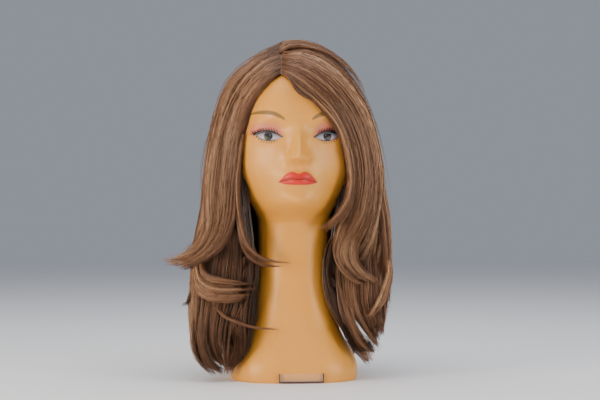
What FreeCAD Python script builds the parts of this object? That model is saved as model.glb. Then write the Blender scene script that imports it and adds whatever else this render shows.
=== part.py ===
"""Mannequin training head with a side-parted wig, modelled in millimetres.

The head is a hollow long-neck moulding that stands on its flared base. The face looks along -Y and +X is the
wearer's left. The origin is the mouth of the clamp socket, in the middle of the base underside, with +Z up.
The wig is a separate assembly, a sewn cap with combs, straps and hair, that lifts straight up off the head.
"""
import FreeCAD, Part
import math
import os

from FreeCAD import Vector

doc = FreeCAD.newDocument("training_head")
sheet = doc.addObject("Spreadsheet::Sheet", "sizes")

SIZES = {
    # the moulded head
    "total_height": 410,
    "base_width": 159,
    "base_depth": 135,
    "neck_width": 87.6,
    "neck_depth": 91,
    "head_width": 149,
    "head_length": 187,
    "wall": 3,
    "eye_spacing": 72,
    "eye_level": 298,
    "mouth_width": 44,
    "mouth_level": 243,
    "nose_width": 30,
    "ear_length": 58,
    "ear_level": 285,
    # the closing board and the clamp socket
    "board_thickness": 6,
    "board_play": 0.4,
    "socket_bore": 22,
    "socket_depth": 60,
    "socket_wall": 3,
    "flange_width": 50,
    "flange_thickness": 3,
    "screw_shank": 3.5,
    "screw_head": 7,
    "screw_length": 16,
    "screw_spread_x": 112,
    "screw_spread_y": 84,
    # the ticket holder on the base front
    "ticket_width": 54,
    "ticket_tall": 11,
    "ticket_offset": 5,
    # the wig
    "cap_gap": 2.4,
    "cap_cloth": 1.2,
    "hair_height": 424,
    "parting": -20,
    "strap_width": 12,
    "comb_width": 34,
    "comb_tooth": 1.6,
}


def fill_sheet():
    """Write each driving dimension in column B under its alias."""
    for line, (name, value) in enumerate(SIZES.items(), start=1):
        sheet.set(f"A{line}", name)
        sheet.set(f"B{line}", str(value))
        sheet.setAlias(f"B{line}", name)
    doc.recompute()


fill_sheet()


def size(name):
    """The value of one driving dimension, read back from the sheet."""
    return float(sheet.get(name))


# ---------------------------------------------------------------------------------------------------------
# Curves and skins
# ---------------------------------------------------------------------------------------------------------


def smooth_profile(stations):
    """A function of height that passes smoothly through stations (height, value) with no overshoot."""
    heights = [height for height, _ in stations]
    values = [value for _, value in stations]
    slopes = [(values[i + 1] - values[i]) / (heights[i + 1] - heights[i]) for i in range(len(values) - 1)]
    tangents = [slopes[0]]
    for before, after in zip(slopes, slopes[1:]):
        tangents.append(0 if before * after <= 0 else 2 * before * after / (before + after))
    tangents.append(slopes[-1])

    def at(height):
        height = min(max(height, heights[0]), heights[-1])
        i = max(k for k in range(len(slopes)) if heights[k] <= height)
        span = heights[i + 1] - heights[i]
        u = (height - heights[i]) / span
        rise = values[i + 1] - values[i]
        start, end = tangents[i] * span, tangents[i + 1] * span
        return values[i] + u * start + u * u * (3 * rise - 2 * start - end) + u**3 * (start + end - 2 * rise)

    return at


def hump(distance, reach):
    """A soft hump, 1 at its middle and almost nothing past twice its reach."""
    return math.exp(-((distance / reach) ** 2))


def thin_end(ring):
    """Three-cornered facets across the end of a thin sheet, whose ring runs out along one face and back."""
    last = len(ring) - 1
    facets = []
    for step in range(len(ring) // 2 - 1):
        facets.append([ring[step], ring[step + 1], ring[last - step]])
        facets.append([ring[step + 1], ring[last - step - 1], ring[last - step]])
    return facets


def skin(rings, flat_ends=True):
    """A closed solid through rings of points, with small flat facets between one ring and the next."""
    corners = []
    for below, above in zip(rings, rings[1:]):
        for step in range(len(below)):
            after = (step + 1) % len(below)
            corners.append([below[step], below[after], above[after]])
            corners.append([below[step], above[after], above[step]])
    for ring in (rings[0], rings[-1]):
        corners += [ring] if flat_ends else thin_end(ring)
    shell = Part.makeShell([Part.Face(Part.makePolygon(points + points[:1])) for points in corners])
    solid = Part.Solid(shell)
    if solid.Volume < 0:
        solid.reverse()
    return solid


# ---------------------------------------------------------------------------------------------------------
# The form of the head
# ---------------------------------------------------------------------------------------------------------

HEIGHT = size("total_height")
WIDEST = 0.793 * HEIGHT
BASE_HALF = size("base_width") / 2
BASE_REACH = size("base_depth") / 2
NECK_HALF = size("neck_width") / 2
NECK_FRONT = 0.42 * size("neck_depth")
NECK_BACK = 0.58 * size("neck_depth")
HEAD_HALF = size("head_width") / 2
HEAD_FRONT = 0.47 * size("head_length")
HEAD_BACK = 0.53 * size("head_length")
CROWN_MIDDLE = 18

BASE_ROLL = [(0, 0.975), (4, 0.992), (14, 1), (24, 0.975), (33, 0.915), (44, 0.83)]


def station_scale(stations, scale):
    """Stations given as shares of one driving dimension."""
    return [(height, share * scale) for height, share in stations]


half_width = smooth_profile(
    station_scale(BASE_ROLL, BASE_HALF)
    + station_scale([(56, 1.345), (72, 1.235), (95, 1.12), (125, 1.03)], NECK_HALF)
    + station_scale([(160, 1), (188, 1.01), (203, 1.06)], NECK_HALF)
    + station_scale([(212, 0.67), (222, 0.73), (234, 0.79), (248, 0.855), (262, 0.895)], HEAD_HALF)
    + station_scale([(280, 0.935), (300, 0.972), (WIDEST, 1)], HEAD_HALF)
)
front_line = smooth_profile(
    station_scale(BASE_ROLL, BASE_REACH)
    + station_scale([(56, 1.36), (72, 1.24), (95, 1.12), (125, 1.04)], NECK_FRONT)
    + station_scale([(160, 1), (185, 1.03), (195, 1.12)], NECK_FRONT)
    + station_scale([(202, 0.6), (209, 0.76), (216, 0.865), (226, 0.915), (240, 0.925)], HEAD_FRONT)
    + station_scale([(258, 0.935), (278, 0.955), (300, 0.98), (WIDEST, 1)], HEAD_FRONT)
)
back_line = smooth_profile(
    station_scale(BASE_ROLL, BASE_REACH)
    + station_scale([(56, 1.01), (72, 0.985), (95, 0.97), (125, 0.98), (160, 1.03), (185, 1.1)], NECK_BACK)
    + station_scale([(203, 0.635), (222, 0.71), (242, 0.8), (262, 0.89), (280, 0.95)], HEAD_BACK)
    + station_scale([(300, 0.985), (WIDEST, 1)], HEAD_BACK)
)
middle_line = smooth_profile([(0, 0), (60, 2), (125, 6), (200, 8), (WIDEST, 6)])
squareness = smooth_profile(
    [(0, 2.7), (40, 2.6), (90, 2.3), (190, 2.2), (215, 2.0), (250, 2.15), (WIDEST, 2.2)]
)
nose_height = smooth_profile(
    [(256, 0), (262, 3), (266, 13), (271, 22), (278, 20.5), (287, 14), (297, 8), (307, 3), (317, 0)]
)
nose_half = smooth_profile([(256, 9), (266, 10), (272, 9), (284, 7.5), (297, 7), (317, 9)])


def face_relief(x, level):
    """How far the features stand off the plain oval of the face at one spot of it."""
    eye, eye_level = size("eye_spacing") / 2, size("eye_level")
    mouth, mouth_level = size("mouth_width") / 2, size("mouth_level")
    wing = 0.37 * size("nose_width")
    side = abs(x)
    spots = [
        # across, level, reach across, reach up, height
        (0.8 * eye, eye_level + 21, 20, 7, 2.2),
        (0.78 * eye, eye_level + 5, 14, 9, -5.5),
        (1.02 * eye, eye_level - 1, 12, 7.5, 4.5),
        (1.3 * eye, eye_level - 36, 18, 18, 3),
        (wing, eye_level - 29, 5, 5.5, 6.5),
        (0, mouth_level + 5, mouth, 14, 3.5),
        (0, mouth_level + 5, 0.65 * mouth, 4.5, 5.5),
        (0, mouth_level - 5, 0.55 * mouth, 4.5, 6),
        (0, mouth_level + 0.5, 0.9 * mouth, 2, -2.5),
        (0, mouth_level - 13, 0.7 * mouth, 4.5, -3.5),
        (0, mouth_level - 23, 0.7 * mouth, 9, 4),
    ]
    relief = nose_height(level) * hump(side, nose_half(level))
    for across, at, wide, tall, up in spots:
        relief += up * hump(side - across, wide) * hump(level - at, tall)
    return relief


def oval(angle, left, right, front, back, power):
    """Reach of a rounded outline, with its own extent each way, at an angle from the front."""
    across, along = math.sin(angle), math.cos(angle)
    side = left if across >= 0 else right
    ahead = front if along >= 0 else back
    return (abs(across / side) ** power + abs(along / ahead) ** power) ** (-1 / power)


def head_point(angle, level, inset, faced):
    """A point of the head skin, moved inwards by inset, with or without the features of the face."""
    rise = max(0, (level - WIDEST) / (HEIGHT - WIDEST))
    shrink = math.sqrt(max(0.002, 1 - rise**2))
    low = min(level, WIDEST)
    middle = middle_line(low)
    reach = oval(
        angle,
        half_width(low),
        half_width(low),
        front_line(low) + middle,
        back_line(low) - middle,
        squareness(low),
    )
    middle += (CROWN_MIDDLE - middle) * rise**2
    reach = reach * shrink
    if faced and math.cos(angle) > 0:
        reach += face_relief(reach * math.sin(angle), level)
    reach -= inset
    height = level if rise == 0 else level - inset * rise
    return Vector(reach * math.sin(angle), middle - reach * math.cos(angle), height)


def face_angles():
    """Angles about the upright axis, close together over the face and wider apart behind it."""
    face = [math.radians(step) for step in range(-48, 49, 4)]
    behind = [math.radians(48 + 14.4 * step) for step in range(1, 18)]
    return face + behind


def even_angles(count):
    """Angles evenly spaced about the upright axis."""
    return [2 * math.pi * step / count for step in range(count)]


def dome_levels(start, top, steps):
    """Levels that close up towards the top, as rings on a dome do."""
    return [start + (top - start) * math.sin(math.pi / 2 * step / steps) for step in range(1, steps + 1)]


def head_solid():
    """The outside of the moulding, from the base edge to the crown, without the ears."""
    levels = [0, 4, 12, 21, 30, 40, 52, 68, 90, 120, 155, 180, 192, 199, 205, 210, 215]
    levels += [219.5 + 4.5 * step for step in range(23)] + [WIDEST] + dome_levels(WIDEST, HEIGHT, 7)
    angles = face_angles()
    return skin([[head_point(angle, level, 0, True) for angle in angles] for level in levels])


face_room = smooth_profile([(192, 0), (203, 4), (215, 2), (262, 1.5), (285, 5), (310, 5), (WIDEST, 0)])


def cavity_solid():
    """The hollow of the moulding, open through the base underside, with a thicker wall behind the face."""
    levels = [-2, 2, 14, 26, 40, 56, 76, 100, 130, 165, 188, 196, 204, 212, 222, 240, 262, 285, 310, WIDEST]
    levels += dome_levels(WIDEST, HEIGHT, 5)
    rings = []
    for level in levels:
        ring = []
        for angle in even_angles(20):
            inset = size("wall") + face_room(level) * max(0, math.cos(angle))
            ring.append(head_point(angle, level, inset, False))
        rings.append(ring)
    for point in rings[0]:
        point.z = levels[0]
    return skin(rings)


def egg(middle, half_x, half_y, half_z, lean):
    """An egg of three half sizes, leaning back about the X axis by an angle in degrees."""
    tilt = FreeCAD.Rotation(Vector(1, 0, 0), lean)
    rings = []
    for rise in range(-80, 81, 20):
        wide, up = math.cos(math.radians(rise)), math.sin(math.radians(rise))
        ring = []
        for angle in even_angles(14):
            spot = Vector(half_x * wide * math.cos(angle), half_y * wide * math.sin(angle), half_z * up)
            ring.append(middle + tilt.multVec(spot))
        rings.append(ring)
    return skin(rings)


def ear(side):
    """One moulded ear, a flat egg with a hollow in its outer face. Side is 1 for left and -1 for right."""
    length = size("ear_length")
    middle = Vector(side * 0.98 * HEAD_HALF, 12, size("ear_level"))
    blank = egg(middle, 7.5, 0.27 * length, 0.5 * length, -12)
    hollow = egg(middle + Vector(side * 8, -3, -2), 6, 0.14 * length, 0.26 * length, -12)
    return blank.cut(hollow)


def head_shell():
    """The rotationally moulded head, neck and base in one hollow piece."""
    head = head_solid().fuse([ear(1), ear(-1)])
    return head.cut(cavity_solid())


# ---------------------------------------------------------------------------------------------------------
# The underside: closing board, socket and screws
# ---------------------------------------------------------------------------------------------------------


def board_blank():
    """The closing board before it is drilled, shaped to the mouth of the hollow."""
    inset, thickness = size("wall") + size("board_play"), size("board_thickness")
    ring = [head_point(angle, 0, inset, False) for angle in even_angles(20)]
    outline = Part.Face(Part.makePolygon(ring + ring[:1]))
    return outline.extrude(Vector(0, 0, thickness))


def screw_places():
    """The middle of each screw in the board, one near each corner."""
    across, along = size("screw_spread_x") / 2, size("screw_spread_y") / 2
    return [Vector(x, y, 0) for x in (-across, across) for y in (-along, along)]


def countersunk_screw():
    """One countersunk screw, head down and flush with the underside, pointing up."""
    head, shank, length = size("screw_head") / 2, size("screw_shank") / 2, size("screw_length")
    sink = head - shank
    outline = [(0, 0), (head, 0), (shank, sink), (shank, length - 3), (0.4, length), (0, length)]
    wire = Part.makePolygon([Vector(x, 0, z) for x, z in outline] + [Vector(0, 0, 0)])
    return Part.Face(wire).revolve(Vector(0, 0, 0), Vector(0, 0, 1), 360)


def base_screws():
    """The four screws that hold the board to the bosses of the moulding."""
    screws = []
    for place in screw_places():
        screw = countersunk_screw()
        screw.translate(place)
        screws.append(screw)
    return Part.Compound(screws)


def screw_posts():
    """Four eight-sided posts inside the moulding that take the screws, standing on the board."""
    foot, top, half = size("board_thickness"), size("board_thickness") + 14, 9
    posts = []
    for place in screw_places():
        corners = [(half * math.cos(angle), half * math.sin(angle)) for angle in even_angles(8)]
        ring = [place + Vector(across, along, foot) for across, along in corners]
        posts.append(Part.Face(Part.makePolygon(ring + ring[:1])).extrude(Vector(0, 0, top - foot)))
    return posts


def square_outline(x0, x1, z0, z1):
    """A four-cornered outline between two corners."""
    return [(x0, z0), (x1, z0), (x1, z1), (x0, z1)]


def base_form(offset):
    """The foot of the base, grown outwards by an offset."""
    levels = (0.5, 4, 12, 21)
    return skin([[head_point(angle, level, -offset, False) for angle in face_angles()] for level in levels])


def ticket_holder():
    """The clear channel stuck on the base front, open at its top for a price ticket."""
    half, foot, thick, rim = size("ticket_width") / 2, 1, 0.9, 1.4
    middle, top = size("ticket_offset"), 1 + size("ticket_tall")
    outline = square_outline(middle - half, middle + half, foot, top)
    slot = square_outline(middle - half + rim, middle + half - rim, foot + rim, top + 1)
    front, back = -BASE_REACH - 10, -BASE_REACH + 15
    gap = base_form(2 * thick).cut(base_form(thick)).common(prism(slot, front, back))
    channel = base_form(3 * thick).common(prism(outline, front, back)).cut(gap)
    return solids_of(channel.cut(head_solid()))


# ---------------------------------------------------------------------------------------------------------
# The wig: cap, trims and hair
# ---------------------------------------------------------------------------------------------------------

HAIR_TOP = size("hair_height")
HAIR_START = 300
PARTING = size("parting")
EAR_ROOM = 86


def cap_point(angle, level, offset):
    """A point outside the head, straight down below its widest level so that the cap lifts off."""
    top = HEIGHT + offset
    rise = max(0, (level - WIDEST) / (top - WIDEST))
    shrink = math.sqrt(max(0.002, 1 - rise**2))
    middle = middle_line(WIDEST)
    power = squareness(WIDEST)
    reach = oval(
        angle,
        HEAD_HALF + offset,
        HEAD_HALF + offset,
        HEAD_FRONT + offset + middle,
        HEAD_BACK + offset - middle,
        power,
    )
    middle += (CROWN_MIDDLE - middle) * rise**2
    return Vector(reach * shrink * math.sin(angle), middle - reach * shrink * math.cos(angle), level)


def cap_form(offset, start):
    """The solid inside the cap surface at an offset, from a start level up to its top."""
    levels = [start, WIDEST] + dome_levels(WIDEST, HEIGHT + offset, 8)
    angles = even_angles(28)
    return skin([[cap_point(angle, level, offset) for angle in angles] for level in levels])


def cap_layer(inner, outer):
    """A layer of even thickness that follows the head, between two offsets."""
    return cap_form(outer, 232).cut(cap_form(inner, 231))


def prism(points, start, end, way="Y"):
    """A straight prism with a flat outline, running along Y or X between two places."""
    if way == "Y":
        wire = Part.makePolygon([Vector(a, start, b) for a, b in points + points[:1]])
        return Part.Face(wire).extrude(Vector(0, end - start, 0))
    wire = Part.makePolygon([Vector(start, a, b) for a, b in points + points[:1]])
    return Part.Face(wire).extrude(Vector(end - start, 0, 0))


def soft_prism(points, start, end):
    """A prism along Y whose outline is a smooth closed curve through the points."""
    curve = Part.BSplineCurve()
    curve.interpolate([Vector(a, start, b) for a, b in points], True)
    return Part.Face(Part.Wire(curve.toShape())).extrude(Vector(0, end - start, 0))


def block(x0, x1, y0, y1, z0, z1):
    """A box between two corners, used to part one piece from the next."""
    return Part.makeBox(x1 - x0, y1 - y0, z1 - z0, Vector(x0, y0, z0))


TOP_EDGE = 378
FRONT_EDGE = -28
BACK_EDGE = 42
TAB_EDGE = 318

# Front view of the opening that the hairline leaves for the face.
FACE_OPENING = [(PARTING, 371), (20, 352), (52, 318), (64, 285), (66, 225), (60, 150), (-60, 150), (-68, 225)]
FACE_OPENING += [(-69, 285), (-62, 325), (-46, 354)]
# Side view of what lies under the cap: the ear notch between the tab and the nape.
UNDER_CAP = [(-140, 200), (-140, 286), (-16, 286), (-14, 306), (0, 319), (20, 321), (34, 312), (40, 290)]
UNDER_CAP += [(50, 262), (66, 246), (140, 244), (140, 200)]


def sewn_cap():
    """The whole cap cloth before it is cut into its panels, open at the face, the ears and the nape."""
    cloth = cap_layer(size("cap_gap"), size("cap_gap") + size("cap_cloth"))
    opening = soft_prism(FACE_OPENING, -150, -10)
    return cloth.cut(opening).cut(prism(UNDER_CAP, -150, 150, "X"))


def solids_of(shape):
    """One solid, or a compound where a cut leaves several."""
    return shape.Solids[0] if len(shape.Solids) == 1 else Part.Compound(shape.Solids)


def cap_panels():
    """The panels of the cap, cut from one cloth along its seams."""
    cloth = sewn_cap()
    wide = 120
    regions = {
        "crown_panel": block(-wide, wide, -wide, wide, TOP_EDGE, 430),
        "lace_front": block(-wide, wide, -wide, FRONT_EDGE, TAB_EDGE, TOP_EDGE),
        "side_panel_left": block(0, wide, FRONT_EDGE, BACK_EDGE, TAB_EDGE - 60, TOP_EDGE),
        "side_panel_right": block(-wide, 0, FRONT_EDGE, BACK_EDGE, TAB_EDGE - 60, TOP_EDGE),
        "back_panel": block(-wide, wide, BACK_EDGE, 130, 200, TOP_EDGE),
    }
    panels = {name: cloth.common(region) for name, region in regions.items()}
    for side, name in ((1, "left"), (-1, "right")):
        tab = block(0, wide, -wide, -13.9, 286, TAB_EDGE)
        if side < 0:
            tab = block(-wide, 0, -wide, -13.9, 286, TAB_EDGE)
        panels["ear_tab_" + name] = cloth.common(tab)
        panels["side_panel_" + name] = panels["side_panel_" + name].cut(tab)
    return {name: solids_of(panel) for name, panel in panels.items()}


def nape_band():
    """The elastic band across the nape, inside the back panel."""
    layer = cap_layer(size("cap_gap") - 1.3, size("cap_gap") - 0.1)
    return solids_of(layer.common(prism(square_outline(-26, 26, 247, 247 + size("strap_width")), 60, 130)))


def adjuster_strap(side):
    """One adjusting strap, from the nape band round to the panel behind the ear."""
    layer = cap_layer(size("cap_gap") - 1.3, size("cap_gap") - 0.1)
    near, far = 26.5 * side, 66 * side
    outline = [(near, 248), (far, 252), (far, 252 + size("strap_width") - 3), (near, 256)]
    return solids_of(layer.common(prism(outline, 40, 130)))


def comb_outline(middle, foot):
    """Front view of a comb, a back bar with teeth that point up into the cap."""
    half, tooth = size("comb_width") / 2, size("comb_tooth")
    count = int(2 * half / (2 * tooth))
    outline = [(middle - half, foot)]
    for step in range(count):
        left = middle - half + 2 * tooth * step
        outline += [(left, foot + 14), (left + tooth, foot + 14), (left + tooth, foot + 4)]
        outline += [(left + 2 * tooth, foot + 4)]
    outline += [(middle + half, foot + 4), (middle + half, foot)]
    cleaned = [outline[0]]
    for point in outline[1:]:
        if point != cleaned[-1]:
            cleaned.append(point)
    return cleaned


def comb(name):
    """One snap comb, sprung to the curve of the head between the cap and the skin."""
    layer = cap_layer(size("cap_gap") - 1.4, size("cap_gap") - 0.2)
    if name == "nape_comb":
        cutter = prism(comb_outline(0, 262), 60, 130)
    elif name == "temple_comb_left":
        cutter = prism(comb_outline(12, 326), 40, 120, "X")
    else:
        cutter = prism(comb_outline(12, 326), -120, -40, "X")
    return solids_of(layer.common(cutter))


right_edge = smooth_profile(
    [(0, 104), (40, 128), (75, 132), (109, 136), (165, 124), (200, 118), (250, 117), (300, 109)]
)
left_edge = smooth_profile([(30, 99), (60, 109), (99, 122), (150, 117), (200, 120), (250, 118), (300, 106)])
back_edge = smooth_profile([(0, 108), (60, 116), (150, 126), (250, 130), (300, 132)])
front_edge = smooth_profile([(0, 96), (100, 100), (250, 100), (300, 103)])


def hair_point(angle, level):
    """A point of the outer surface of the hair, a dome above its start level."""
    low = min(level, HAIR_START)
    rise = max(0, (level - HAIR_START) / (HAIR_TOP - HAIR_START))
    shrink = max(0.0005, 1 - rise**1.7) ** 0.571
    middle = 8
    front, back = front_edge(low) + middle, back_edge(low) - middle
    reach = oval(angle, left_edge(low), right_edge(low), front, back, 2.2)
    middle += 2 * rise
    return Vector(reach * shrink * math.sin(angle), middle - reach * shrink * math.cos(angle), level)


def crown_hair():
    """The hair over the cap, parted into the lengths that fall each way."""
    levels = [HAIR_START, HAIR_START + 14, HAIR_START + 32] + dome_levels(HAIR_START + 32, HAIR_TOP, 8)
    outer = skin([[hair_point(angle, level) for angle in even_angles(22)] for level in levels])
    gap = size("cap_gap") + size("cap_cloth") + 0.1
    ear_room = block(-EAR_ROOM + 2, EAR_ROOM - 2, -12, 38, HAIR_START - 1, TAB_EDGE + 1)
    hair = outer.cut(cap_form(gap, 232)).cut(soft_prism(FACE_OPENING, -150, -12)).cut(ear_room)
    wide = 160
    fringe_back = -34
    regions = {
        "crown_hair_right": block(-wide, PARTING, -wide, 30, HAIR_START, 430),
        "fringe_sweep": block(PARTING, wide, -wide, fringe_back, HAIR_START, 430),
        "crown_hair_left": block(PARTING, wide, fringe_back, 30, HAIR_START, 430),
        "crown_hair_back": block(-wide, wide, 30, wide, HAIR_START, 430),
    }
    return {name: solids_of(hair.common(region)) for name, region in regions.items()}


def lift_clearance(point, spare):
    """The point, or the nearest one straight outwards that clears the head and ears on the way up."""
    middle = 8
    gap = size("cap_gap") + size("cap_cloth") + spare
    along, across = middle - point.y, point.x
    angle = math.atan2(across, along)
    from_ear = abs(abs(math.degrees(angle)) - 94)
    bulge = (EAR_ROOM - HEAD_HALF - gap) * min(1, max(0, (44 - from_ear) / 26))
    half = HEAD_HALF + gap
    least = oval(angle, half, half, HEAD_FRONT + gap + middle, HEAD_BACK + gap - middle, 2.2) + bulge
    reach = max(math.hypot(across, along), least)
    return Vector(reach * math.sin(angle), middle - reach * math.cos(angle), max(point.z, 2))


def lock(guides, thick):
    """A sheet of hair as one solid: guides run down its outer face and it is thick in the middle."""
    steps = 10
    lines = []
    for guide in guides:
        curve = Part.BSplineCurve()
        curve.interpolate([Vector(*point) for point in guide])
        first, last = curve.FirstParameter, curve.LastParameter
        lines.append([curve.value(first + (last - first) * step / steps) for step in range(steps + 1)])
    rings = []
    for step in range(steps + 1):
        outer, inner = [], []
        for place, line in enumerate(lines):
            flow = line[min(step + 1, steps)] - line[max(step - 1, 0)]
            side = lines[min(place + 1, len(lines) - 1)][step] - lines[max(place - 1, 0)][step]
            normal = flow.cross(side).normalize()
            away = Vector(line[step].x, line[step].y - 8, 0)
            if normal.dot(away) < 0:
                normal = normal * -1
            edge = 0.35 if place in (0, len(lines) - 1) else 1
            taper = 1 - 0.7 * (step / steps) ** 3
            outer.append(lift_clearance(line[step], 2 + 2 * edge))
            inner.append(lift_clearance(line[step] - normal * (thick * edge * taper), 0.3))
        rings.append(outer + inner[::-1])
    return skin(rings, flat_ends=False)


# Guides of each sheet of hair, from where it leaves the crown or the layer above down to its tips.
FRONT_RIGHT = [
    [(-65, -63, 310), (-67, -58, 265), (-71, -59, 222), (-92, -63, 163), (-116, -58, 146), (-148, -52, 141)],
    [(-84, -46, 310), (-92, -42, 265), (-96, -44, 222), (-107, -52, 166), (-130, -52, 148), (-164, -45, 148)],
    [(-100, -17, 310), (-109, -16, 265), (-113, -20, 222), (-119, -32, 177), (-136, -38, 158), (-163, -40, 153)],
]
LONG_RIGHT = [
    [(-103, -7, 310), (-113, -6, 230), (-119, -16, 160), (-125, -31, 82), (-120, -39, 31), (-90, -46, 7)],
    [(-105, 25, 310), (-117, 27, 230), (-120, 18, 160), (-124, -2, 84), (-117, -18, 38), (-93, -28, 14)],
    [(-98, 64, 310), (-106, 67, 230), (-109, 57, 160), (-112, 36, 84), (-104, 20, 47), (-89, 10, 28)],
]
FRINGE = [
    [(53, -84, 310), (69, -69, 258), (66, -63, 203), (50, -62, 172)],
    [(74, -71, 310), (86, -61, 250), (80, -59, 195), (60, -61, 160)],
    [(89, -55, 310), (100, -49, 250), (96, -49, 186), (76, -54, 151)],
    [(98, -39, 310), (109, -33, 250), (109, -36, 182), (98, -45, 120)],
]
LONG_LEFT = [
    [(100, -17, 310), (112, -14, 250), (117, -16, 180), (119, -29, 98), (114, -36, 70), (98, -42, 46)],
    [(101, 25, 310), (113, 28, 250), (117, 25, 180), (118, 3, 96), (112, -9, 68), (98, -18, 49)],
    [(88, 66, 310), (100, 69, 250), (103, 66, 180), (101, 42, 96), (96, 31, 70), (85, 22, 52)],
]
LOW_RIGHT = [
    [(-110, -28, 205), (-116, -30, 140), (-123, -38, 80), (-114, -43, 30), (-91, -46, 7)],
    [(-94, -42, 205), (-98, -42, 145), (-105, -46, 85), (-100, -47, 34), (-88, -47, 5)],
    [(-78, -52, 205), (-70, -46, 142), (-72, -50, 85), (-80, -52, 44), (-85, -52, 14)],
]
LOW_LEFT = [
    [(72, -56, 205), (62, -50, 150), (62, -50, 90), (78, -52, 50), (100, -50, 36)],
    [(90, -50, 205), (84, -44, 150), (86, -50, 90), (94, -52, 58), (103, -49, 43)],
    [(107, -34, 205), (106, -36, 150), (107, -46, 96), (107, -47, 72), (102, -44, 52)],
]
BAND_RIGHT = [
    [(-109, -26, 215), (-118, -48, 146), (-92, -66, 125), (-60, -67, 126)],
    [(-112, -22, 208), (-124, -48, 128), (-96, -67, 109), (-60, -68, 111)],
    [(-114, -18, 200), (-126, -46, 114), (-96, -64, 97), (-66, -66, 100)],
]
BACK_HALF = [
    [(-85, 76, 310), (-101, 73, 220), (-103, 66, 140), (-94, 40, 62)],
    [(-70, 100, 310), (-81, 108, 220), (-83, 101, 140), (-76, 74, 64)],
    [(-39, 118, 310), (-42, 126, 220), (-42, 121, 140), (-36, 99, 62)],
]
BACK_UNDER = [
    [(-62, 82, 310), (-64, 86, 220), (-62, 78, 130), (-66, 64, 58)],
    [(-34, 104, 310), (-36, 104, 220), (-34, 98, 130), (-34, 86, 52)],
    [(0, 108, 310), (0, 109, 220), (0, 105, 130), (0, 92, 48)],
    [(34, 104, 310), (36, 104, 220), (34, 98, 130), (34, 86, 52)],
    [(62, 82, 310), (64, 86, 220), (62, 78, 130), (66, 64, 58)],
]


def mirrored(guides):
    """The same guides on the other side."""
    return [[(-x, y, z) for x, y, z in guide] for guide in guides[::-1]]


def falling_hair():
    """The layers below the crown. Each is cut to sit against the ones named before it, with no overlap."""
    wide, flip, curl = 200, 180, 95
    below_crown = block(-wide, wide, -wide, wide, 0, HAIR_START)
    spine = [[(0, 124, 310), (0, 132, 220), (0, 127, 140), (0, 106, 62)]]
    sheets = [
        ("face_layer_right", FRONT_RIGHT, 13, (flip, HAIR_START)),
        ("flip_curl_right", FRONT_RIGHT, 13, (0, flip)),
        ("face_layer_left", FRINGE, 13, (0, HAIR_START)),
        ("side_layer_right", LONG_RIGHT, 16, (curl, HAIR_START)),
        ("end_curl_right", LONG_RIGHT, 16, (0, curl)),
        ("side_layer_left", LONG_LEFT, 16, (curl, HAIR_START)),
        ("end_curl_left", LONG_LEFT, 16, (0, curl)),
        ("back_layer_upper", BACK_HALF + spine + mirrored(BACK_HALF), 13, (0, HAIR_START)),
        ("back_layer_lower", BACK_UNDER, 9, (0, HAIR_START)),
        ("lower_lock_right", LOW_RIGHT, 12, (0, HAIR_START)),
        ("lower_lock_left", LOW_LEFT, 12, (0, HAIR_START)),
        ("curl_band_right", BAND_RIGHT, 9, (0, HAIR_START)),
    ]
    layers = {}
    cap = cap_form(size("cap_gap") + size("cap_cloth"), 232)
    for label, guides, thick, (low, high) in sheets:
        piece = lock(guides, thick).common(below_crown).common(block(-wide, wide, -wide, wide, low, high))
        for other in [cap] + list(layers.values()):
            if other.BoundBox.intersect(piece.BoundBox):
                piece = piece.cut(other)
        layers[label] = max(piece.Solids, key=lambda solid: solid.Volume)
    return layers


# ---------------------------------------------------------------------------------------------------------
# The document
# ---------------------------------------------------------------------------------------------------------

nodes = []


def keep(thing, label):
    """Name a sub-part and put it on the list that is written out."""
    thing.Label = label
    nodes.append(thing)
    return thing


def add_shape(label, shape):
    """A sub-part whose form is worked out above."""
    feature = doc.addObject("Part::Feature", label)
    feature.Shape = shape
    feature.Placement = FreeCAD.Placement()
    return keep(feature, label)


def add_cylinder(name, radius, height, start="0"):
    """A cylinder on the Z axis whose sizes are expressions."""
    cylinder = doc.addObject("Part::Cylinder", name)
    cylinder.setExpression("Radius", radius)
    cylinder.setExpression("Height", height)
    cylinder.setExpression("Placement.Base.z", start)
    return cylinder


def add_cut(name, base, tool):
    """One solid less another."""
    cut = doc.addObject("Part::Cut", name)
    cut.Base = base
    cut.Tool = tool
    return cut


def plane_of(body, role):
    """One of a body's own origin planes."""
    return next(item for item in body.Origin.OriginFeatures if item.Role == role)


def new_sketch(body, name, role):
    """A sketch on an origin plane of a body."""
    sketch = body.newObject("Sketcher::SketchObject", name)
    sketch.AttachmentSupport = [(plane_of(body, role), "")]
    sketch.MapMode = "FlatFace"
    return sketch


def draw_outline(sketch, points):
    """A closed outline of straight lines, pinned point by point."""
    for start, end in zip(points, points[1:] + points[:1]):
        sketch.addGeometry(Part.LineSegment(Vector(*start, 0), Vector(*end, 0)))


def build_base_board():
    """The board that closes the moulding, with its socket hole, flange rebate and screw holes."""
    blank = doc.addObject("Part::Feature", "board_blank")
    blank.Shape = board_blank()
    hole = add_cylinder("board_hole", "sizes.socket_bore / 2 + sizes.socket_wall", "sizes.board_thickness")
    rebate = add_cylinder("board_rebate", "sizes.flange_width / 2", "sizes.flange_thickness")
    screws = doc.addObject("Part::Feature", "board_screw_holes")
    screws.Shape = base_screws()
    bored = add_cut("bored_board", blank, hole)
    rebated = add_cut("rebated_board", bored, rebate)
    return keep(add_cut("drilled_board", rebated, screws), "base_board")


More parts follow.
